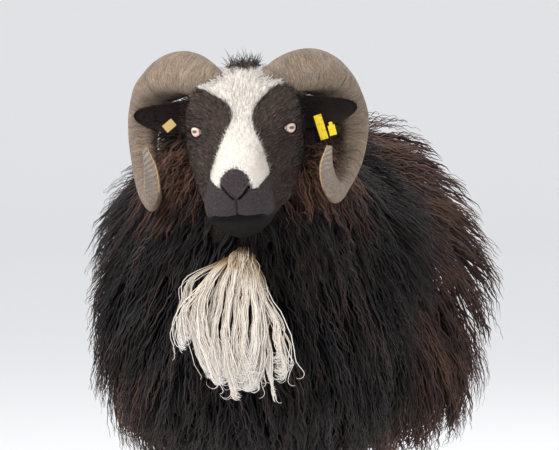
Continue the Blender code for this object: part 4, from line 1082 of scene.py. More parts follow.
# Layers of the coat: name, width of a strand, finish, and how its locks grow.
COAT_LAYERS = (
    ("under", 0.0054, under_wool, dict(
        locks=1000, each=6, steps=8, weight=coat_weight, spread=0.0130, long=0.115,
        crimp=0.0360, reach=0.0052, start=(0.26, 0.45), end=(0.64, 0.92),
    )),
    ("top", 0.0020, top_wool, dict(
        locks=740, each=5, steps=20, weight=front_weight, spread=0.0080, long=0.078,
        crimp=0.0145, reach=0.0025, start=(0.46, 0.66), end=(0.84, 1.03),
    )),
    ("ruff", 0.0018, top_wool, dict(
        locks=740, each=5, steps=9, weight=ruff_weight, spread=0.0050, long=0.070,
        crimp=0.0220, reach=0.0036, start=(0.34, 0.50), end=(0.46, 0.86),
    )),
)
PIECE_TRIANGLES = 190_000  # the most that one piece of a layer may have
LOWEST_WOOL, WIDEST_WOOL = 0.13, 0.300  # the height and half width that the wool stays within

for layer_name, wide, finish, growth in COAT_LAYERS:
    path, facing, share, angle, of = wavy_locks(**growth)
    count, locks, steps = len(of), growth["locks"], growth["steps"]
    brown = 0.95 * (1 - rise(share, 0.46, 0.60))
    mottled = 0.5 + 0.5 * np.sin(share * 47 + 3 * np.sin(angle * 5)) * np.sin(angle * 9 + share * 20)
    brown *= 0.75 + 0.45 * mottled
    brown += 0.7 * hump(share, 0.62, 0.06) * hump(angle, -2.3, 0.35)
    brown += 0.95 * rise(share, 0.79, 0.87) * rise(path[:, 0, 2], 0.580, 0.625)
    bleach = np.clip(brown + draw.normal(0, 0.12, locks)[of] + draw.normal(0, 0.06, count), 0, 1)
    shade = np.clip(draw.beta(1.5, 2.6, count) + draw.normal(0, 0.24, locks)[of], 0, 1)
    width = wide * draw.uniform(0.75, 1.2, count) * (1 - 0.2 * rise(share, 0.76, 0.93))
    root_uv = np.stack(((angle / (2 * np.pi) + 0.5) % 1 * 0.99, share * 0.99), axis=1)
    kept = clear_of_head(path) & (path[:, :, 2].min(axis=1) > LOWEST_WOOL)
    kept &= np.abs(path[:, :, 0]).max(axis=1) < WIDEST_WOOL
    order = np.flatnonzero(kept)
    order = order[np.argsort(share[order], kind="stable")]
    pieces = math.ceil(len(order) * (6 * steps - 2) / PIECE_TRIANGLES)
    for number, chosen in enumerate(np.array_split(order, pieces)):
        fleece = strand_piece(
            f"wool_{layer_name}_{number + 1}", path[chosen], facing[chosen], width[chosen],
            width[chosen] * 0.4, finish, root_uv[chosen], bleach=bleach[chosen], shade=shade[chosen],
        )


# Throat tuft: long white wool under the jaw, yellowed at its root. It fans out into flat locks
# whose ends curl back on themselves.

# The tuft's middle: heights, rising, and places along the body.
TUFT_HEIGHTS = (0.345, 0.370, 0.410, 0.465, 0.520, 0.552)
TUFT_PLACES = (-0.544, -0.548, -0.556, -0.562, -0.562, -0.552)
# Ropes of the tuft, in millimetres: places across and heights from root to tip, half width,
# strands, how far ahead they hang, and which way their ends curl.
TUFT_ROPES = (
    (((-12, 513), (-36, 487), (-41, 461), (-46, 425), (-45, 408)), 1.6, 24, -0.3, 1),
    (((0, 512), (-20, 474), (-43, 449), (-48, 428), (-43, 405)), 2.0, 36, 0.3, 1),
    (((0, 516), (-20, 477), (-31, 448), (-29, 415), (-14, 374)), 3.5, 90, 0.2, 1),
    (((6, 518), (-8, 487), (-20, 448), (-17, 412), (-2, 367)), 3.5, 90, 0.6, 1),
    (((12, 520), (3, 478), (-6, 444), (-9, 415), (0, 366)), 2.5, 60, 0.0, 1),
    (((18, 522), (11, 480), (3, 440), (-5, 400), (4, 368)), 3.0, 82, 0.7, 1),
    (((26, 524), (24, 485), (16, 444), (13, 400), (22, 352)), 4.2, 128, 0.9, 1),
    (((33, 522), (32, 485), (27, 446), (25, 400), (33, 360)), 4.2, 128, 0.6, 1),
    (((39, 520), (42, 478), (40, 440), (37, 400), (44, 366)), 4.5, 142, 0.9, 1),
    (((43, 518), (51, 475), (55, 436), (52, 398), (43, 361)), 5.0, 150, 0.8, -1),
    (((47, 514), (58, 476), (63, 436), (60, 398), (51, 359)), 3.5, 90, 0.4, -1),
    (((51, 510), (62, 466), (77, 430), (89, 395), (85, 370)), 2.0, 36, 0.0, -1),
    (((52, 508), (66, 462), (81, 430), (82, 400), (89, 381)), 2.5, 60, 0.3, -1),
    (((56, 490), (63, 440), (69, 395), (68, 358), (71, 344)), 1.2, 18, 0.1, 1),
)
TUFT_ROOT, TUFT_GATHER = 0.031, 0.6  # where the ropes' roots are drawn together, and how far
TUFT_STRAYS, TUFT_TANGLE = 90, 80
TUFT_FALL, TUFT_LOOP = 13, 6  # steps down a strand, and round the curl at its end
TUFT_AHEAD, TUFT_BURIED = 0.016, 0.030

# Washed white wool: long, smooth fibre that rain has washed. It gives a bright silky white, and
# cream near the root, where grease has stayed in it, and on the odd stained strand.
tuft_wool, tree, shader = new_finish("washed white wool", Roughness=0.5, Specular_IOR_Level=0.4)
tipward, shade = (
    add(tree, "ShaderNodeAttribute", attribute_name=key).outputs["Fac"] for key in ("tipward", "shade")
)
ramp = add_ramp(tree, tipward, (0.0, "#bd9b6c"), (0.045, "#dfc8a4"), (0.11, "#f3ebdf"), (1.0, "#fdfaf6"))
mixed = blend(tree, shade, "#bd9a68", ramp.outputs["Color"])
tree.links.new(mixed, shader.inputs["Base Color"])

draw = np.random.default_rng(21)


def tuft_strands(rope, half_width, count, ahead, curl):
    """Strands down one rope, each with a curl at its end, as places across, forward and up."""
    t = np.linspace(0, 1, TUFT_FALL + 1)
    rope = np.array(rope, float) / 1000
    rope[0, 0] = TUFT_ROOT + (rope[0, 0] - TUFT_ROOT) * TUFT_GATHER
    line = through(np.linspace(0, 1, len(rope)), rope, t)[None]
    shorter = draw.uniform(0.80, 1.04, (count, 1, 1))
    line = line[:, :1] + (line - line[:, :1]) * shorter
    gathered = 0.8 - 0.48 * rise(t, 0, 0.35) + 0.12 * rise(t, 0.7, 1.0)
    beside = draw.normal(0, half_width / 1000, (count, 1)) * gathered
    phase, own_phase = draw.uniform(0, 2 * np.pi), draw.uniform(0, 2 * np.pi, (count, 1))
    fall = (line[:, :1, 1] - line[:, :, 1]) * 1000
    across = line[:, :, 0] + beside + 0.0012 * np.sin(fall / 7.2 + phase)
    across = across + 0.0006 * np.sin(fall / 4.0 + own_phase)
    height = line[:, :, 1] + 0 * across
    heading = np.stack((across[:, -1] - across[:, -2], height[:, -1] - height[:, -2]), axis=1)
    heading /= np.linalg.norm(heading, axis=1, keepdims=True)
    aside = np.stack((-heading[:, 1], heading[:, 0]), axis=1) * curl
    radius = draw.uniform(0.0035, 0.0070) * draw.uniform(0.7, 1.3, (count, 1, 1))
    loop = np.linspace(0, 1, TUFT_LOOP + 1)[None, 1:] * draw.uniform(0.4, 1.0)
    loop = (loop * draw.uniform(0.6, 1.4, (count, 1)) * np.pi)[..., None]
    curve = radius * (np.sin(loop) * heading[:, None] + (1 - np.cos(loop)) * aside[:, None])
    across = np.concatenate((across, across[:, -1:] + curve[:, :, 0]), axis=1)
    height = np.concatenate((height, height[:, -1:] + curve[:, :, 1]), axis=1)
    at = np.clip(height, TUFT_HEIGHTS[0], TUFT_HEIGHTS[-1])
    place = through(TUFT_HEIGHTS, TUFT_PLACES, at.ravel()).reshape(at.shape)
    forward = TUFT_AHEAD * ahead + draw.normal(0, 0.0022, (count, 1))
    forward = forward + 0.0010 * np.sin(fall[:, [-1]] / 5 + own_phase)
    lifted = np.concatenate((0 * t, 0.003 * np.linspace(0, 1, TUFT_LOOP)))[None]
    rooted_back = TUFT_BURIED * (1 - rise(np.linspace(0, 1, across.shape[1]), 0, 0.14))[None]
    return np.stack((across, place - forward - lifted + rooted_back, height), axis=2)


paths, shades = [], []
# The ropes come first, then strays beside them, then a tangle of short hairs at the root.
for rope, half_width, count, ahead, curl in TUFT_ROPES:
    paths.append(tuft_strands(rope, half_width, count, ahead, curl))
    shades.append(np.clip(draw.normal(0.97, 0.05) - draw.exponential(0.07, count), 0.3, 1))
for _ in range(TUFT_STRAYS):
    rope, half_width, _, ahead, curl = TUFT_ROPES[draw.integers(len(TUFT_ROPES))]
    shift = draw.normal(0, 7, 2) * (1, 0.6)
    strayed = np.array(rope) + np.linspace(0.4, 1.3, 5)[:, None] * shift
    paths.append(tuft_strands(strayed, 3.0, 1, ahead + 0.3, curl * draw.choice((-1, 1))))
    shades.append(draw.uniform(0.6, 1, 1))
for _ in range(TUFT_TANGLE):
    start = np.array((draw.normal(34, 9), draw.uniform(508, 532)))
    bend = draw.normal(0, 2.5, (5, 2)).cumsum(axis=0) + np.linspace(0, 1, 5)[:, None] * (0, -45)
    tangled = start + bend - bend[0]
    paths.append(tuft_strands(tangled, 1.0, 1, draw.uniform(0.3, 1.0), draw.choice((-1, 1))))
    shades.append(draw.uniform(0.2, 0.7, 1))
path, shade = np.concatenate(paths), np.concatenate(shades)
count = len(path)
fan = (path[:, :, 0] - 0.025) * 8
facing = np.stack((fan, -np.ones_like(fan), np.zeros_like(fan)), axis=2)
facing /= np.linalg.norm(facing, axis=2, keepdims=True)
wide = draw.uniform(0.0009, 0.0014, count)
root_uv = np.stack((0.5 + path[:, 0, 0] * 5, 0.05 + (path[:, 0, 2] - 0.45) * 8), axis=1)
root_uv = root_uv.clip(0.02, 0.97)
tuft = strand_piece("throat_tuft_wool", path, facing, wide, wide * 0.5, tuft_wool, root_uv, shade=shade)
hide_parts("throat_tuft")


# Hair of the face, ears and legs: short hairs that lie back from the nose and up over the brow,
# and down the legs. They soften the outline and the edges of the white marks.

FACE_HAIRS, LEG_HAIRS, EAR_HAIRS = 32000, 7600, 2600
FACE_END, FACE_HALF_WIDTH = 0.20, 0.078
EAR_FROM, EAR_TO = 0.066, 0.15  # out from the middle of the head
LEG_TOP, LEG_LOW, FETLOCK = 0.38, 0.045, 0.075

skin.data.calc_loop_triangles()
tri = np.empty(len(skin.data.loop_triangles) * 3, np.int32)
skin.data.loop_triangles.foreach_get("vertices", tri)
tri = tri.reshape(-1, 3)
corners = skin_points[tri]
tri_normal = np.cross(corners[:, 1] - corners[:, 0], corners[:, 2] - corners[:, 0])
tri_area = np.linalg.norm(tri_normal, axis=1)
tri_normal = tri_normal / np.maximum(tri_area, 1e-12)[:, None]
tri_middle = corners.mean(axis=1)
tri_head = turned(HEAD.inverted(), tri_middle)


def rooted(count, weight):
    """Places on the skin's triangles, by area times weight, with the skin's direction there."""
    chance = tri_area * weight
    chosen = draw.choice(len(tri), size=count, p=chance / chance.sum())
    r1, r2 = np.sqrt(draw.random((count, 1))), draw.random((count, 1))
    a, b, c = (corners[chosen, k] for k in range(3))
    return (1 - r1) * a + r1 * (1 - r2) * b + r1 * r2 * c, tri_normal[chosen]


def lay(root, normal, lie, length, lift, steps=1):
    """Hairs that leave the skin along a direction, bent down onto it."""
    lie = lie - normal * (lie * normal).sum(axis=1, keepdims=True)
    lie /= np.maximum(np.linalg.norm(lie, axis=1, keepdims=True), 1e-9)
    t = np.linspace(0, 1, steps + 1)[None, :, None]
    rises = lift[:, None, None] * np.sin(np.minimum(t, 0.95) * np.pi * 0.62)
    path = root[:, None] + lie[:, None] * length[:, None, None] * t + normal[:, None] * (rises - 0.0002)
    return path, np.repeat(normal[:, None], steps + 1, axis=1)


def hair_finish(name, dark_codes, pale_codes, **values):
    """Hair that is dark or pale as each strand's own numbers say."""
    made, tree, shader = new_finish(name, **values)
    pale_part, shade = (
        add(tree, "ShaderNodeAttribute", attribute_name=key).outputs["Fac"] for key in ("pale", "shade")
    )
    dark, pale = blend(tree, shade, *dark_codes), blend(tree, shade, *pale_codes)
    tree.links.new(blend(tree, pale_part, dark, pale), shader.inputs["Base Color"])
    return made


def head_map(points):
    """Places on the map for points near the head: round it, and back from the nose."""
    local = turned(HEAD.inverted(), points)
    around = np.arctan2(local[:, 0], local[:, 2] + 0.020)
    places = np.stack((0.5 + 0.48 * around / np.pi, 0.02 + 3.9 * local[:, 1]), axis=1)
    return np.clip(places, 0.01, 0.98)


# Face hair: short and straight, with no gloss. Hairs from black to grey-brown give a soft, dusty
# black, and off-white ones a chalky white.
hair = hair_finish(
    "face hair", ("#0e0c0c", "#85776f"), ("#d2cac1", "#edeae6"), Roughness=0.55, Specular_IOR_Level=0.08
)

draw = np.random.default_rng(8)
eye_free = np.ones(len(tri))
for side in (1, -1):
    local = turned(eye_frame(side).inverted(), tri_middle)
    eye_free *= np.where((lid_opening(side, local) < 1.35) & (local[:, 1] > 0), 0, 1)
face = (tri_head[:, 1] > 0.004) & (tri_head[:, 1] < FACE_END)
face &= (np.abs(tri_head[:, 0]) < FACE_HALF_WIDTH) & (tri_middle[:, 2] > 0.5)
edge_wish = 1 + 1.5 * hump(blaze_edge(tri_middle), 0, 0.006)
from_middle = np.abs(tri_head[:, 0] - swung(tri_head[:, 1]))
under = -above_mouth(from_middle, tri_head[:, 1], tri_head[:, 2])
bare_lips = 1 - rise(under, -0.001, 0.0005) * (1 - rise(under, 0.005, 0.011)) * (tri_head[:, 1] < 0.040)
root, normal = rooted(FACE_HAIRS, face * eye_free * edge_wish * bare_lips)
local = turned(HEAD.inverted(), root)
across_head, back_head = (np.array(HEAD.to_3x3() @ Vector(way)) for way in ((1, 0, 0), (0, 1, 0)))
lie = back_head + across_head * (local[:, :1] / 0.05) * 0.8 + draw.normal(0, 0.16, (FACE_HAIRS, 3))
long = (0.0026 + 0.0062 * rise(local[:, 1], 0.01, 0.13)) * draw.uniform(0.7, 1.3, FACE_HAIRS)
path, facing = lay(root, normal, lie, long, 0.0004 + 0.13 * long * draw.uniform(0.4, 1.6, FACE_HAIRS))
is_pale = (blaze_edge(root) + draw.normal(0, 0.0011, FACE_HAIRS) > 0).astype(float)
wide = (0.0006 + 0.0002 * rise(local[:, 1], 0.03, 0.12)) * draw.uniform(0.7, 1.3, FACE_HAIRS)
root_uv = head_map(root)
tone = draw.random(FACE_HAIRS) ** np.where(is_pale > 0.5, 1, 1.8)
above = above_mouth(np.abs(local[:, 0] - swung(local[:, 1])), local[:, 1], local[:, 2])
# Hairs below the mouth are darkened as painted shade on the chin.
tone *= 1 - 0.85 * rise(-above, -0.001, 0.004) * (local[:, 1] < 0.080)
for name, chosen in (("white", is_pale > 0.5), ("dark", is_pale < 0.5)):
    fuzz = strand_piece(
        "face_hair_" + name, path[chosen], facing[chosen], wide[chosen], wide[chosen] * 0.5, hair,
        root_uv[chosen], pale=is_pale[chosen], shade=tone[chosen],
    )

level_middle = turned(LEVEL.inverted(), tri_middle)
from_middle = np.abs(level_middle[:, 0])
on_ear = (from_middle > EAR_FROM) & (tri_middle[:, 2] > 0.62) & (from_middle < EAR_TO)
root, normal = rooted(EAR_HAIRS, on_ear.astype(float))
local = turned(LEVEL.inverted(), root)
lie = np.array(LEVEL.to_3x3() @ Vector((1, 0, 0)))[None] * np.sign(local[:, :1])
near_root = 1 - rise(np.abs(local[:, 0]), 0.070, 0.100)
long = draw.uniform(0.004, 0.009, EAR_HAIRS) * (1 + 1.2 * near_root)
lie = lie + draw.normal(0, 0.35, (EAR_HAIRS, 3))
path, facing = lay(root, normal, lie, long, 0.0015 + 0.004 * near_root, steps=2)
wide = np.full(EAR_HAIRS, 0.0008)
up_ear = 0.25 + 0.5 * (normal[:, 1] > 0) + (local[:, 2] - 0.02) * 4.5
root_uv = np.stack((0.5 + local[:, 0] * 3.2, up_ear), axis=1).clip(0.01, 0.98)
ear_fuzz = strand_piece(
    "ear_hair_fringe", path, facing, wide, wide * 0.5, hair, root_uv,
    pale=np.zeros(EAR_HAIRS), shade=0.12 * draw.random(EAR_HAIRS),
)

on_leg = (tri_middle[:, 2] < LEG_TOP) & (tri_middle[:, 2] > LEG_LOW) & (np.abs(tri_normal[:, 2]) < 0.8)
root, normal = rooted(LEG_HAIRS, on_leg * (1 + 2.0 * (tri_middle[:, 2] < FETLOCK)))
near_hoof = 1 - rise(root[:, 2], 0.055, 0.10)
long = (0.008 + 0.006 * near_hoof) * draw.uniform(0.7, 1.3, LEG_HAIRS)
lie = np.array([[0, 0.1, -1.0]]) + draw.normal(0, 0.12, (LEG_HAIRS, 3))
path, facing = lay(root, normal, lie, long, 0.0018 * draw.uniform(0.5, 1.5, LEG_HAIRS))
wide = np.full(LEG_HAIRS, 0.0013)
is_pale = (root[:, 2] + draw.normal(0, 0.012, LEG_HAIRS) < SOCK_TOP + 0.01).astype(float)
corner = (root[:, 1] > 0) * 2 + (root[:, 0] > 0)
aside = root[:, 0] - np.sign(root[:, 0]) * 0.093
astern = root[:, 1] - np.where(root[:, 1] > 0, 0.28, -0.24)
round_leg = 0.22 * (np.arctan2(aside, astern) / (2 * np.pi) + 0.5)
root_uv = np.stack((0.02 + corner * 0.245 + round_leg, 0.02 + root[:, 2] * 2.4), axis=1)
leg_fuzz = strand_piece(
    "leg_hair_fringe", path, facing, wide, wide * 0.5, hair, root_uv,
    pale=is_pale, shade=draw.random(LEG_HAIRS),
)


# Fringe: hair of the brow that grows round the foot of each horn, some millimetres long. It laps
# over the horn's base and hides the line where horn and skin meet.

FRINGE_HAIRS, FRINGE_STEPS = 2600, 2
FRINGE_BASES = 7  # places at the foot of the horn's line that it may grow round
draw = np.random.default_rng(11)
for side, (line, radius) in zip(("left", "right"), horn_lines):
    bases, reach = line[:FRINGE_BASES], radius[:FRINGE_BASES]
    along = np.gradient(line, axis=0)[:FRINGE_BASES]
    along /= np.linalg.norm(along, axis=1, keepdims=True)
    gaps = np.linalg.norm(tri_middle[:, None] - bases[None], axis=2) - reach[None]
    nearest = gaps.argmin(axis=1)
    at_base = (np.abs(gaps.min(axis=1) - 0.003) < 0.004) & (tri_middle[:, 2] > 0.68)
    at_base &= (nearest > 0) & (nearest < FRINGE_BASES - 1)
    root, normal = rooted(FRINGE_HAIRS // 2, at_base.astype(float))
    closest = np.linalg.norm(root[:, None] - bases[None], axis=2).argmin(axis=1)
    away = root - bases[closest]
    away -= along[closest] * (away * along[closest]).sum(axis=1, keepdims=True)
    away /= np.linalg.norm(away, axis=1, keepdims=True)
    t = np.linspace(0, 1, FRINGE_STEPS + 1)[None, :, None]
    count = len(root)
    lie = along[closest] + draw.normal(0, 0.30, (count, 3))
    long = draw.uniform(0.003, 0.008, count)[:, None, None]
    gap = (away * (root - bases[closest])).sum(axis=1) - reach[closest]
    lift = 0.0014 * np.sin(np.pi * t) - np.maximum(0, gap - 0.0012)[:, None, None] * t
    path = root[:, None] + lie[:, None] * long * t + away[:, None] * lift
    pale = (blaze_edge(root) + draw.normal(0, 0.002, count) > -0.004).astype(float)
    wide = draw.uniform(0.0006, 0.0010, count)
    facing = np.repeat(away[:, None], FRINGE_STEPS + 1, axis=1)
    fringe = strand_piece(
        "fringe_" + side, path, facing, wide, wide * 0.5, hair, head_map(root),
        pale=pale, shade=draw.random(count),
    )


# Ruff: short curls of brown wool, tightly crimped, on the cheeks' rear edge and the upper neck.
# They fill the space from behind the cheeks and ears up to the horns.

RUFF_CURLS, RUFF_STEPS, RUFF_TURNS = 4900, 10, 2.3
draw = np.random.default_rng(31)
sideways, backward, upward = level_middle.T
beside_neck = (np.abs(sideways) > 0.045) & (backward > 0.045) & (backward < 0.150)
beside_neck &= (upward > -0.13) & (upward < 0.042) & (tri_normal[:, 0] * sideways > 0)
nape = (np.abs(sideways) < 0.065) & (backward > 0.100) & (backward < 0.190) & (upward > -0.03)
nape &= tri_normal[:, 1] + tri_normal[:, 2] > 0.3
root, normal = rooted(RUFF_CURLS, beside_neck * (1 + 3.5 * hump(upward, 0.004, 0.034)) + 1.5 * nape)
t = np.linspace(0, 1, RUFF_STEPS + 1)[None, :]
local = turned(LEVEL.inverted(), root)
high = rise(local[:, 2:], -0.04, 0.0)
out = normal * (1, 1, 0.4) + draw.normal(0, 0.30, (RUFF_CURLS, 3)) + (0, -0.35, 0) * (1 - 0.8 * high)
out /= np.linalg.norm(out, axis=1, keepdims=True)
down = np.array((0, 0, -1.0)) + draw.normal(0, 0.40, (RUFF_CURLS, 3))
side_axis = np.cross(out, down)
side_axis /= np.linalg.norm(side_axis, axis=1, keepdims=True)
other_axis = np.cross(out, side_axis)
leave = draw.uniform(0.008, 0.042, (RUFF_CURLS, 1)) + 0.029 * hump(local[:, 2:], 0.0, 0.036)
leave = leave * np.sin(t * np.pi / 2) - 0.001
fall = draw.uniform(0.010, 0.026, (RUFF_CURLS, 1)) * (1 - 0.5 * high) * t**1.4
wave = 2 * np.pi * RUFF_TURNS * t * draw.uniform(0.8, 1.2, (RUFF_CURLS, 1))
wave = wave + draw.uniform(0, 6.28, (RUFF_CURLS, 1))
curl = 0.0030 * draw.uniform(0.6, 1.3, (RUFF_CURLS, 1)) * rise(t, 0, 0.3)
path = root[:, None] + out[:, None] * leave[..., None] + down[:, None] * fall[..., None]
path = path + side_axis[:, None] * (curl * np.sin(wave))[..., None]
path = path + other_axis[:, None] * (curl * np.cos(wave))[..., None]
# Curls that would stick out past the horns or in front of the ears are left off.
placed = turned(LEVEL.inverted(), path.reshape(-1, 3)).reshape(path.shape)
wing, front, height = np.abs(placed[:, :, 0]), placed[:, :, 1], placed[:, :, 2]
keep = clear_of_head(path) & ~((wing > 0.127) & (height > -0.045)).any(axis=1)
keep &= ~((wing > 0.068) & (front < 0.070) & (height > -0.022)).any(axis=1) & (height < 0.068).all(axis=1)
around = np.arctan2(local[:, 0], local[:, 2] + 0.03)
back_share = (local[:, 1] - 0.045) / 0.105
root_uv = np.stack((0.5 + 0.48 * around / np.pi, 0.02 + 0.95 * back_share), axis=1).clip(0.01, 0.98)
wide = draw.uniform(0.0014, 0.0022, RUFF_CURLS)
bleach = np.clip(draw.normal(0.88, 0.15, RUFF_CURLS) - 0.75 * high[:, 0], 0, 1)
tone = draw.beta(2.4, 1.7, RUFF_CURLS)
facing = np.repeat(other_axis[keep, None], RUFF_STEPS + 1, axis=1)
ruff = strand_piece(
    "ruff_curls", path[keep], facing, wide[keep], wide[keep] * 0.45, top_wool, root_uv[keep],
    bleach=bleach[keep], shade=tone[keep],
)


# Poll tuft: coarse dark hair on the crown. It grows in a small patch between the feet of the
# horns and stands up and back in spikes.

POLL_HAIRS, POLL_STEPS = 260, 5
POLL_BACK, POLL_HALF_WIDTH = 0.205, 0.018
draw = np.random.default_rng(14)
on_poll = hump(tri_head[:, 1], POLL_BACK, 0.012) * (np.abs(tri_head[:, 0]) < POLL_HALF_WIDTH)
on_poll = on_poll * (tri_head[:, 2] > 0.035) * (tri_middle[:, 2] > 0.5)
root, normal = rooted(POLL_HAIRS, on_poll)
up = np.array((0.0, 0.25, 1.0))[None] + draw.normal(0, 0.40, (POLL_HAIRS, 3))
up /= np.linalg.norm(up, axis=1, keepdims=True)
t = np.linspace(0, 1, POLL_STEPS + 1)[None, :, None]
long = draw.uniform(0.004, 0.015, POLL_HAIRS)[:, None, None]
lean = draw.normal(0, 0.006, (POLL_HAIRS, 1, 3))
path = root[:, None] + up[:, None] * long * t + lean * t**2
facing = np.repeat(np.array([[[0.0, -1.0, 0.2]]]), POLL_HAIRS, axis=0) + 0 * path
wide = np.full(POLL_HAIRS, 0.0008)
local = turned(HEAD.inverted(), root)
root_uv = np.stack((0.5 + local[:, 0] * 12, (local[:, 1] - 0.15) * 8), axis=1).clip(0.02, 0.97)
poll = strand_piece(
    "poll_tuft_hair", path, facing, wide, wide * 0.5, hair, root_uv,
    pale=np.zeros(POLL_HAIRS), shade=0.6 * draw.random(POLL_HAIRS),
)


# Tail: left long, with its core in the skin and the same wavy wool round it. It hangs to the
# hocks, black above and white below.

TAIL_STRANDS, TAIL_STEPS = 2200, 6
TAIL_REACH = 0.30  # how far down the tail a strand lies, as a share of it
TAIL_WHITE_FROM, TAIL_WHITE_FULL = 0.42, 0.55
draw = np.random.default_rng(17)
start = draw.uniform(0.0, 0.80, TAIL_STRANDS)
turn = draw.uniform(-np.pi, np.pi, TAIL_STRANDS)
t = np.linspace(0, 1, TAIL_STEPS + 1)[None, :]
share = start[:, None] + TAIL_REACH * t * draw.uniform(0.7, 1.1, TAIL_STRANDS)[:, None]
share = np.minimum(1.0, share)
line, radius = tail_line(share)
out = np.stack((np.sin(turn), 0.8 * np.cos(turn), 0 * turn), axis=1)[:, None]
swing = 0.0025 * np.sin(2 * np.pi * 1.3 * t + draw.uniform(0, 6, TAIL_STRANDS)[:, None])
puff = TAIL_COAT * rise(t, -0.1, 0.8) * (1 - 0.35 * t) * draw.uniform(0.5, 1.0, TAIL_STRANDS)[:, None]
reach = radius * 0.8 + puff + swing
path = line + out * reach[:, :, None] + draw.normal(0, 0.0008, line.shape)
path[:, :, 2] = np.maximum(path[:, :, 2], TAIL_ROOT[2] - TAIL_LENGTH)
wide = draw.uniform(0.0018, 0.0030, TAIL_STRANDS)
half_white = start + draw.normal(0, 0.03, TAIL_STRANDS)
half_white = rise(half_white, TAIL_WHITE_FROM, TAIL_WHITE_FULL)
# Tail wool: like the greasy wool but kept apart in locks. It gives brown-black, and cream below.
tail_finish = hair_finish(
    "tail wool", ("#0e0d0e", "#3a2a24"), ("#cbb798", "#efe7da"), Roughness=0.5, Specular_IOR_Level=0.35
)
root_uv = np.stack((0.02 + 0.94 * (turn / (2 * np.pi) + 0.5), 0.02 + 0.93 * start), axis=1)
facing = np.repeat(out, TAIL_STEPS + 1, axis=1)
tail_wool = strand_piece(
    "tail_wool", path, facing, wide, wide * 0.4, tail_finish, root_uv,
    pale=half_white, shade=draw.random(TAIL_STRANDS),
)


# Hooves: two claws of dark horn to a foot, grown down over the toes from the skin. Each has faint
# rings of growth, a straighter inner side and a flat sole.

HOOF_HEIGHT, HOOF_HALF_LENGTH, HOOF_HALF_WIDTH = 0.0425, 0.027, 0.0115
CLAW_GAP, CLAW_FORWARD = 0.0008, 0.012  # half the gap, and how far they stand ahead of the shin
# From the sole up: height, share of the length and of the width, and how far it leans back.
CLAW_STATIONS = (
    (0.000, 1.00, 1.00, 0.000),
    (0.012, 0.98, 0.98, 0.001),
    (0.030, 0.82, 0.92, 0.004),
    (HOOF_HEIGHT, 0.66, 0.84, 0.007),
)

# Hoof horn: dark, dull and faintly ringed. It gives a brown-black with paler lines across it.
RING_MM, RING_LONG_MM = 1.852, 27.78
hoof_horn, tree, shader = new_finish("hoof horn", Roughness=0.5)
place = add(tree, "ShaderNodeTexCoord").outputs["Object"]
per_metre = (1000 / RING_LONG_MM, 1000 / RING_LONG_MM, 1000 / RING_MM)
squeezed = add(tree, "ShaderNodeMapping", {"Vector": place, "Scale": per_metre}).outputs[0]
growth = add(tree, "ShaderNodeTexNoise", {"Vector": squeezed, "Scale": 1.0, "Detail": 3.0}).outputs["Fac"]
tree.links.new(blend(tree, growth, "#1f1a18", "#54483f"), shader.inputs["Base Color"])
dents = add(tree, "ShaderNodeBump", {"Height": growth, "Strength": 0.5, "Distance": 0.0008})
tree.links.new(dents.outputs[0], shader.inputs["Normal"])

for pair, (spread, stations) in LEGS.items():
    for side_name, side in (("left", 1), ("right", -1)):
        for claw_name, inner in (("outer", -1), ("inner", 1)):
            x0 = side * (spread - inner * (HOOF_HALF_WIDTH + CLAW_GAP))
            y0 = stations[-1][1] - CLAW_FORWARD
            lift = np.linspace(0, HOOF_HEIGHT, 30)
            shape = through([c[0] for c in CLAW_STATIONS], [c[1:] for c in CLAW_STATIONS], lift)
            ringed = 1 + 0.010 * np.sin(lift * 1400) * rise(lift, 0.002, 0.01)
            turn = np.linspace(0, 2 * np.pi, 36, endpoint=False)[None, :]
            across = np.sin(turn) * HOOF_HALF_WIDTH * (shape[:, 1] * ringed)[:, None]
            across = np.where(across * inner * -side > 0, across * 0.80, across)
            along = np.cos(turn) * HOOF_HALF_LENGTH * (shape[:, 0] * ringed)[:, None]
            pointed = 1 - 0.30 * np.maximum(0, -np.cos(turn))
            x, y, z = x0 + across * pointed, y0 + along + shape[:, 2:3], lift[:, None] + 0 * turn
            name = f"{pair}_{side_name}_{claw_name}"
            hoof = new_piece("claw_" + name, *skin_over(np.stack((x, y, z), axis=2)), hoof_horn)
            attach(hoof, "root")
            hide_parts("hoof_" + name)


# Ear tags: flat plates of moulded plastic, each with a stem through the ear and a small button
# behind it. They keep the shapes of their solids, and are only given their finish here.

# Moulded plastic: smooth and half matt. It gives a clear yellow with rubbed-in dirt.
SCUFF_MM = 3.846
yellow_tag, tree, shader = new_finish("moulded plastic", Roughness=0.35)
place = add(tree, "ShaderNodeTexCoord").outputs["Object"]
noise = {"Vector": place, "Scale": 1000 / SCUFF_MM, "Detail": 3.0}
scuffs = add(tree, "ShaderNodeTexNoise", noise).outputs["Fac"]
span = {"Value": scuffs, "From Min": 0.58, "From Max": 0.72}
dirt = add(tree, "ShaderNodeMapRange", span).outputs[0]
tree.links.new(blend(tree, dirt, "#f0cf14", "#a98a1c"), shader.inputs["Base Color"])
# The same plastic in a pale light brown, partly its own colour and partly a painted reflection, and a
# little less glossy.
pale_reflecting_tag, tree, shader = new_finish("pale plastic with painted reflection", Roughness=0.4, Base_Color=colour("#c4a46a"))
for node, finish in (
    ("ear_tag_left_bar", yellow_tag), ("ear_tag_left_button", yellow_tag), ("ear_tag_right", pale_reflecting_tag),
):
    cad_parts[node].material_slots[0].material = finish


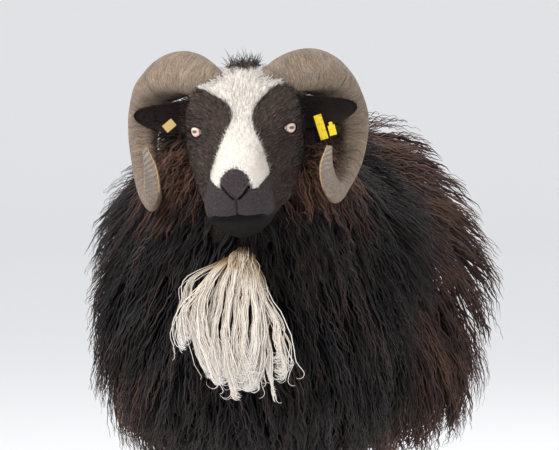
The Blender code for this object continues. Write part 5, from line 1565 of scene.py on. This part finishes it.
# Studio: a plain pale paper floor that curves up behind the ram, far enough off to show no edge.
# The sky is pale too, and two broad soft lights hang above, one in front and a weaker one behind.

FLOOR_REACH, SWEEP_BACK, SWEEP_RADIUS, SWEEP_HEIGHT = 30.0, 17.0, 4.0, 20.0
SKY_STRENGTH = 0.90
floor_z = float(cad_box[0][2])
profile = [(-FLOOR_REACH, 0.0), (SWEEP_BACK, 0.0)]
for t in np.linspace(0.1, math.pi / 2, 16):
    profile.append((SWEEP_BACK + SWEEP_RADIUS * math.sin(t), SWEEP_RADIUS * (1 - math.cos(t))))
profile.append((SWEEP_BACK + SWEEP_RADIUS, SWEEP_HEIGHT))
floor_mesh = bpy.data.meshes.new("floor")
floor_points = [(x, y, z + floor_z) for y, z in profile for x in (-FLOOR_REACH, FLOOR_REACH)]
floor_faces = [(2 * k, 2 * k + 1, 2 * k + 3, 2 * k + 2) for k in range(len(profile) - 1)]
floor_mesh.from_pydata(floor_points, [], floor_faces)
floor_mesh.shade_smooth()
# Studio paper: uncoated and matt. It gives an even near-white with no gloss.
paper, tree, shader = new_finish("studio paper", Roughness=0.9, Base_Color=colour("#f5f5f6"))
floor_mesh.materials.append(paper)
floor = bpy.data.objects.new("floor", floor_mesh)
bpy.context.scene.collection.objects.link(floor)

world = bpy.data.worlds.new("pale sky")
world.use_nodes = True
sky = world.node_tree.nodes["Background"]
sky.inputs["Color"].default_value = colour("#f6f7f9")
sky.inputs["Strength"].default_value = SKY_STRENGTH
bpy.context.scene.world = world
bpy.context.scene.view_settings.view_transform = "Standard"


def soft_light(name, place, size, power):
    """A square of light that faces the ram."""
    data = bpy.data.lights.new(name, "AREA")
    data.size, data.energy = size, power
    made = bpy.data.objects.new(name, data)
    made.location = place
    made.rotation_euler = (eyes - Vector(place)).to_track_quat("-Z", "Y").to_euler()
    bpy.context.scene.collection.objects.link(made)


soft_light("key", (-1.6, -3.2, 3.4), 2.2, 150)
soft_light("rim", (1.5, 2.2, 3.2), 2.4, 30)
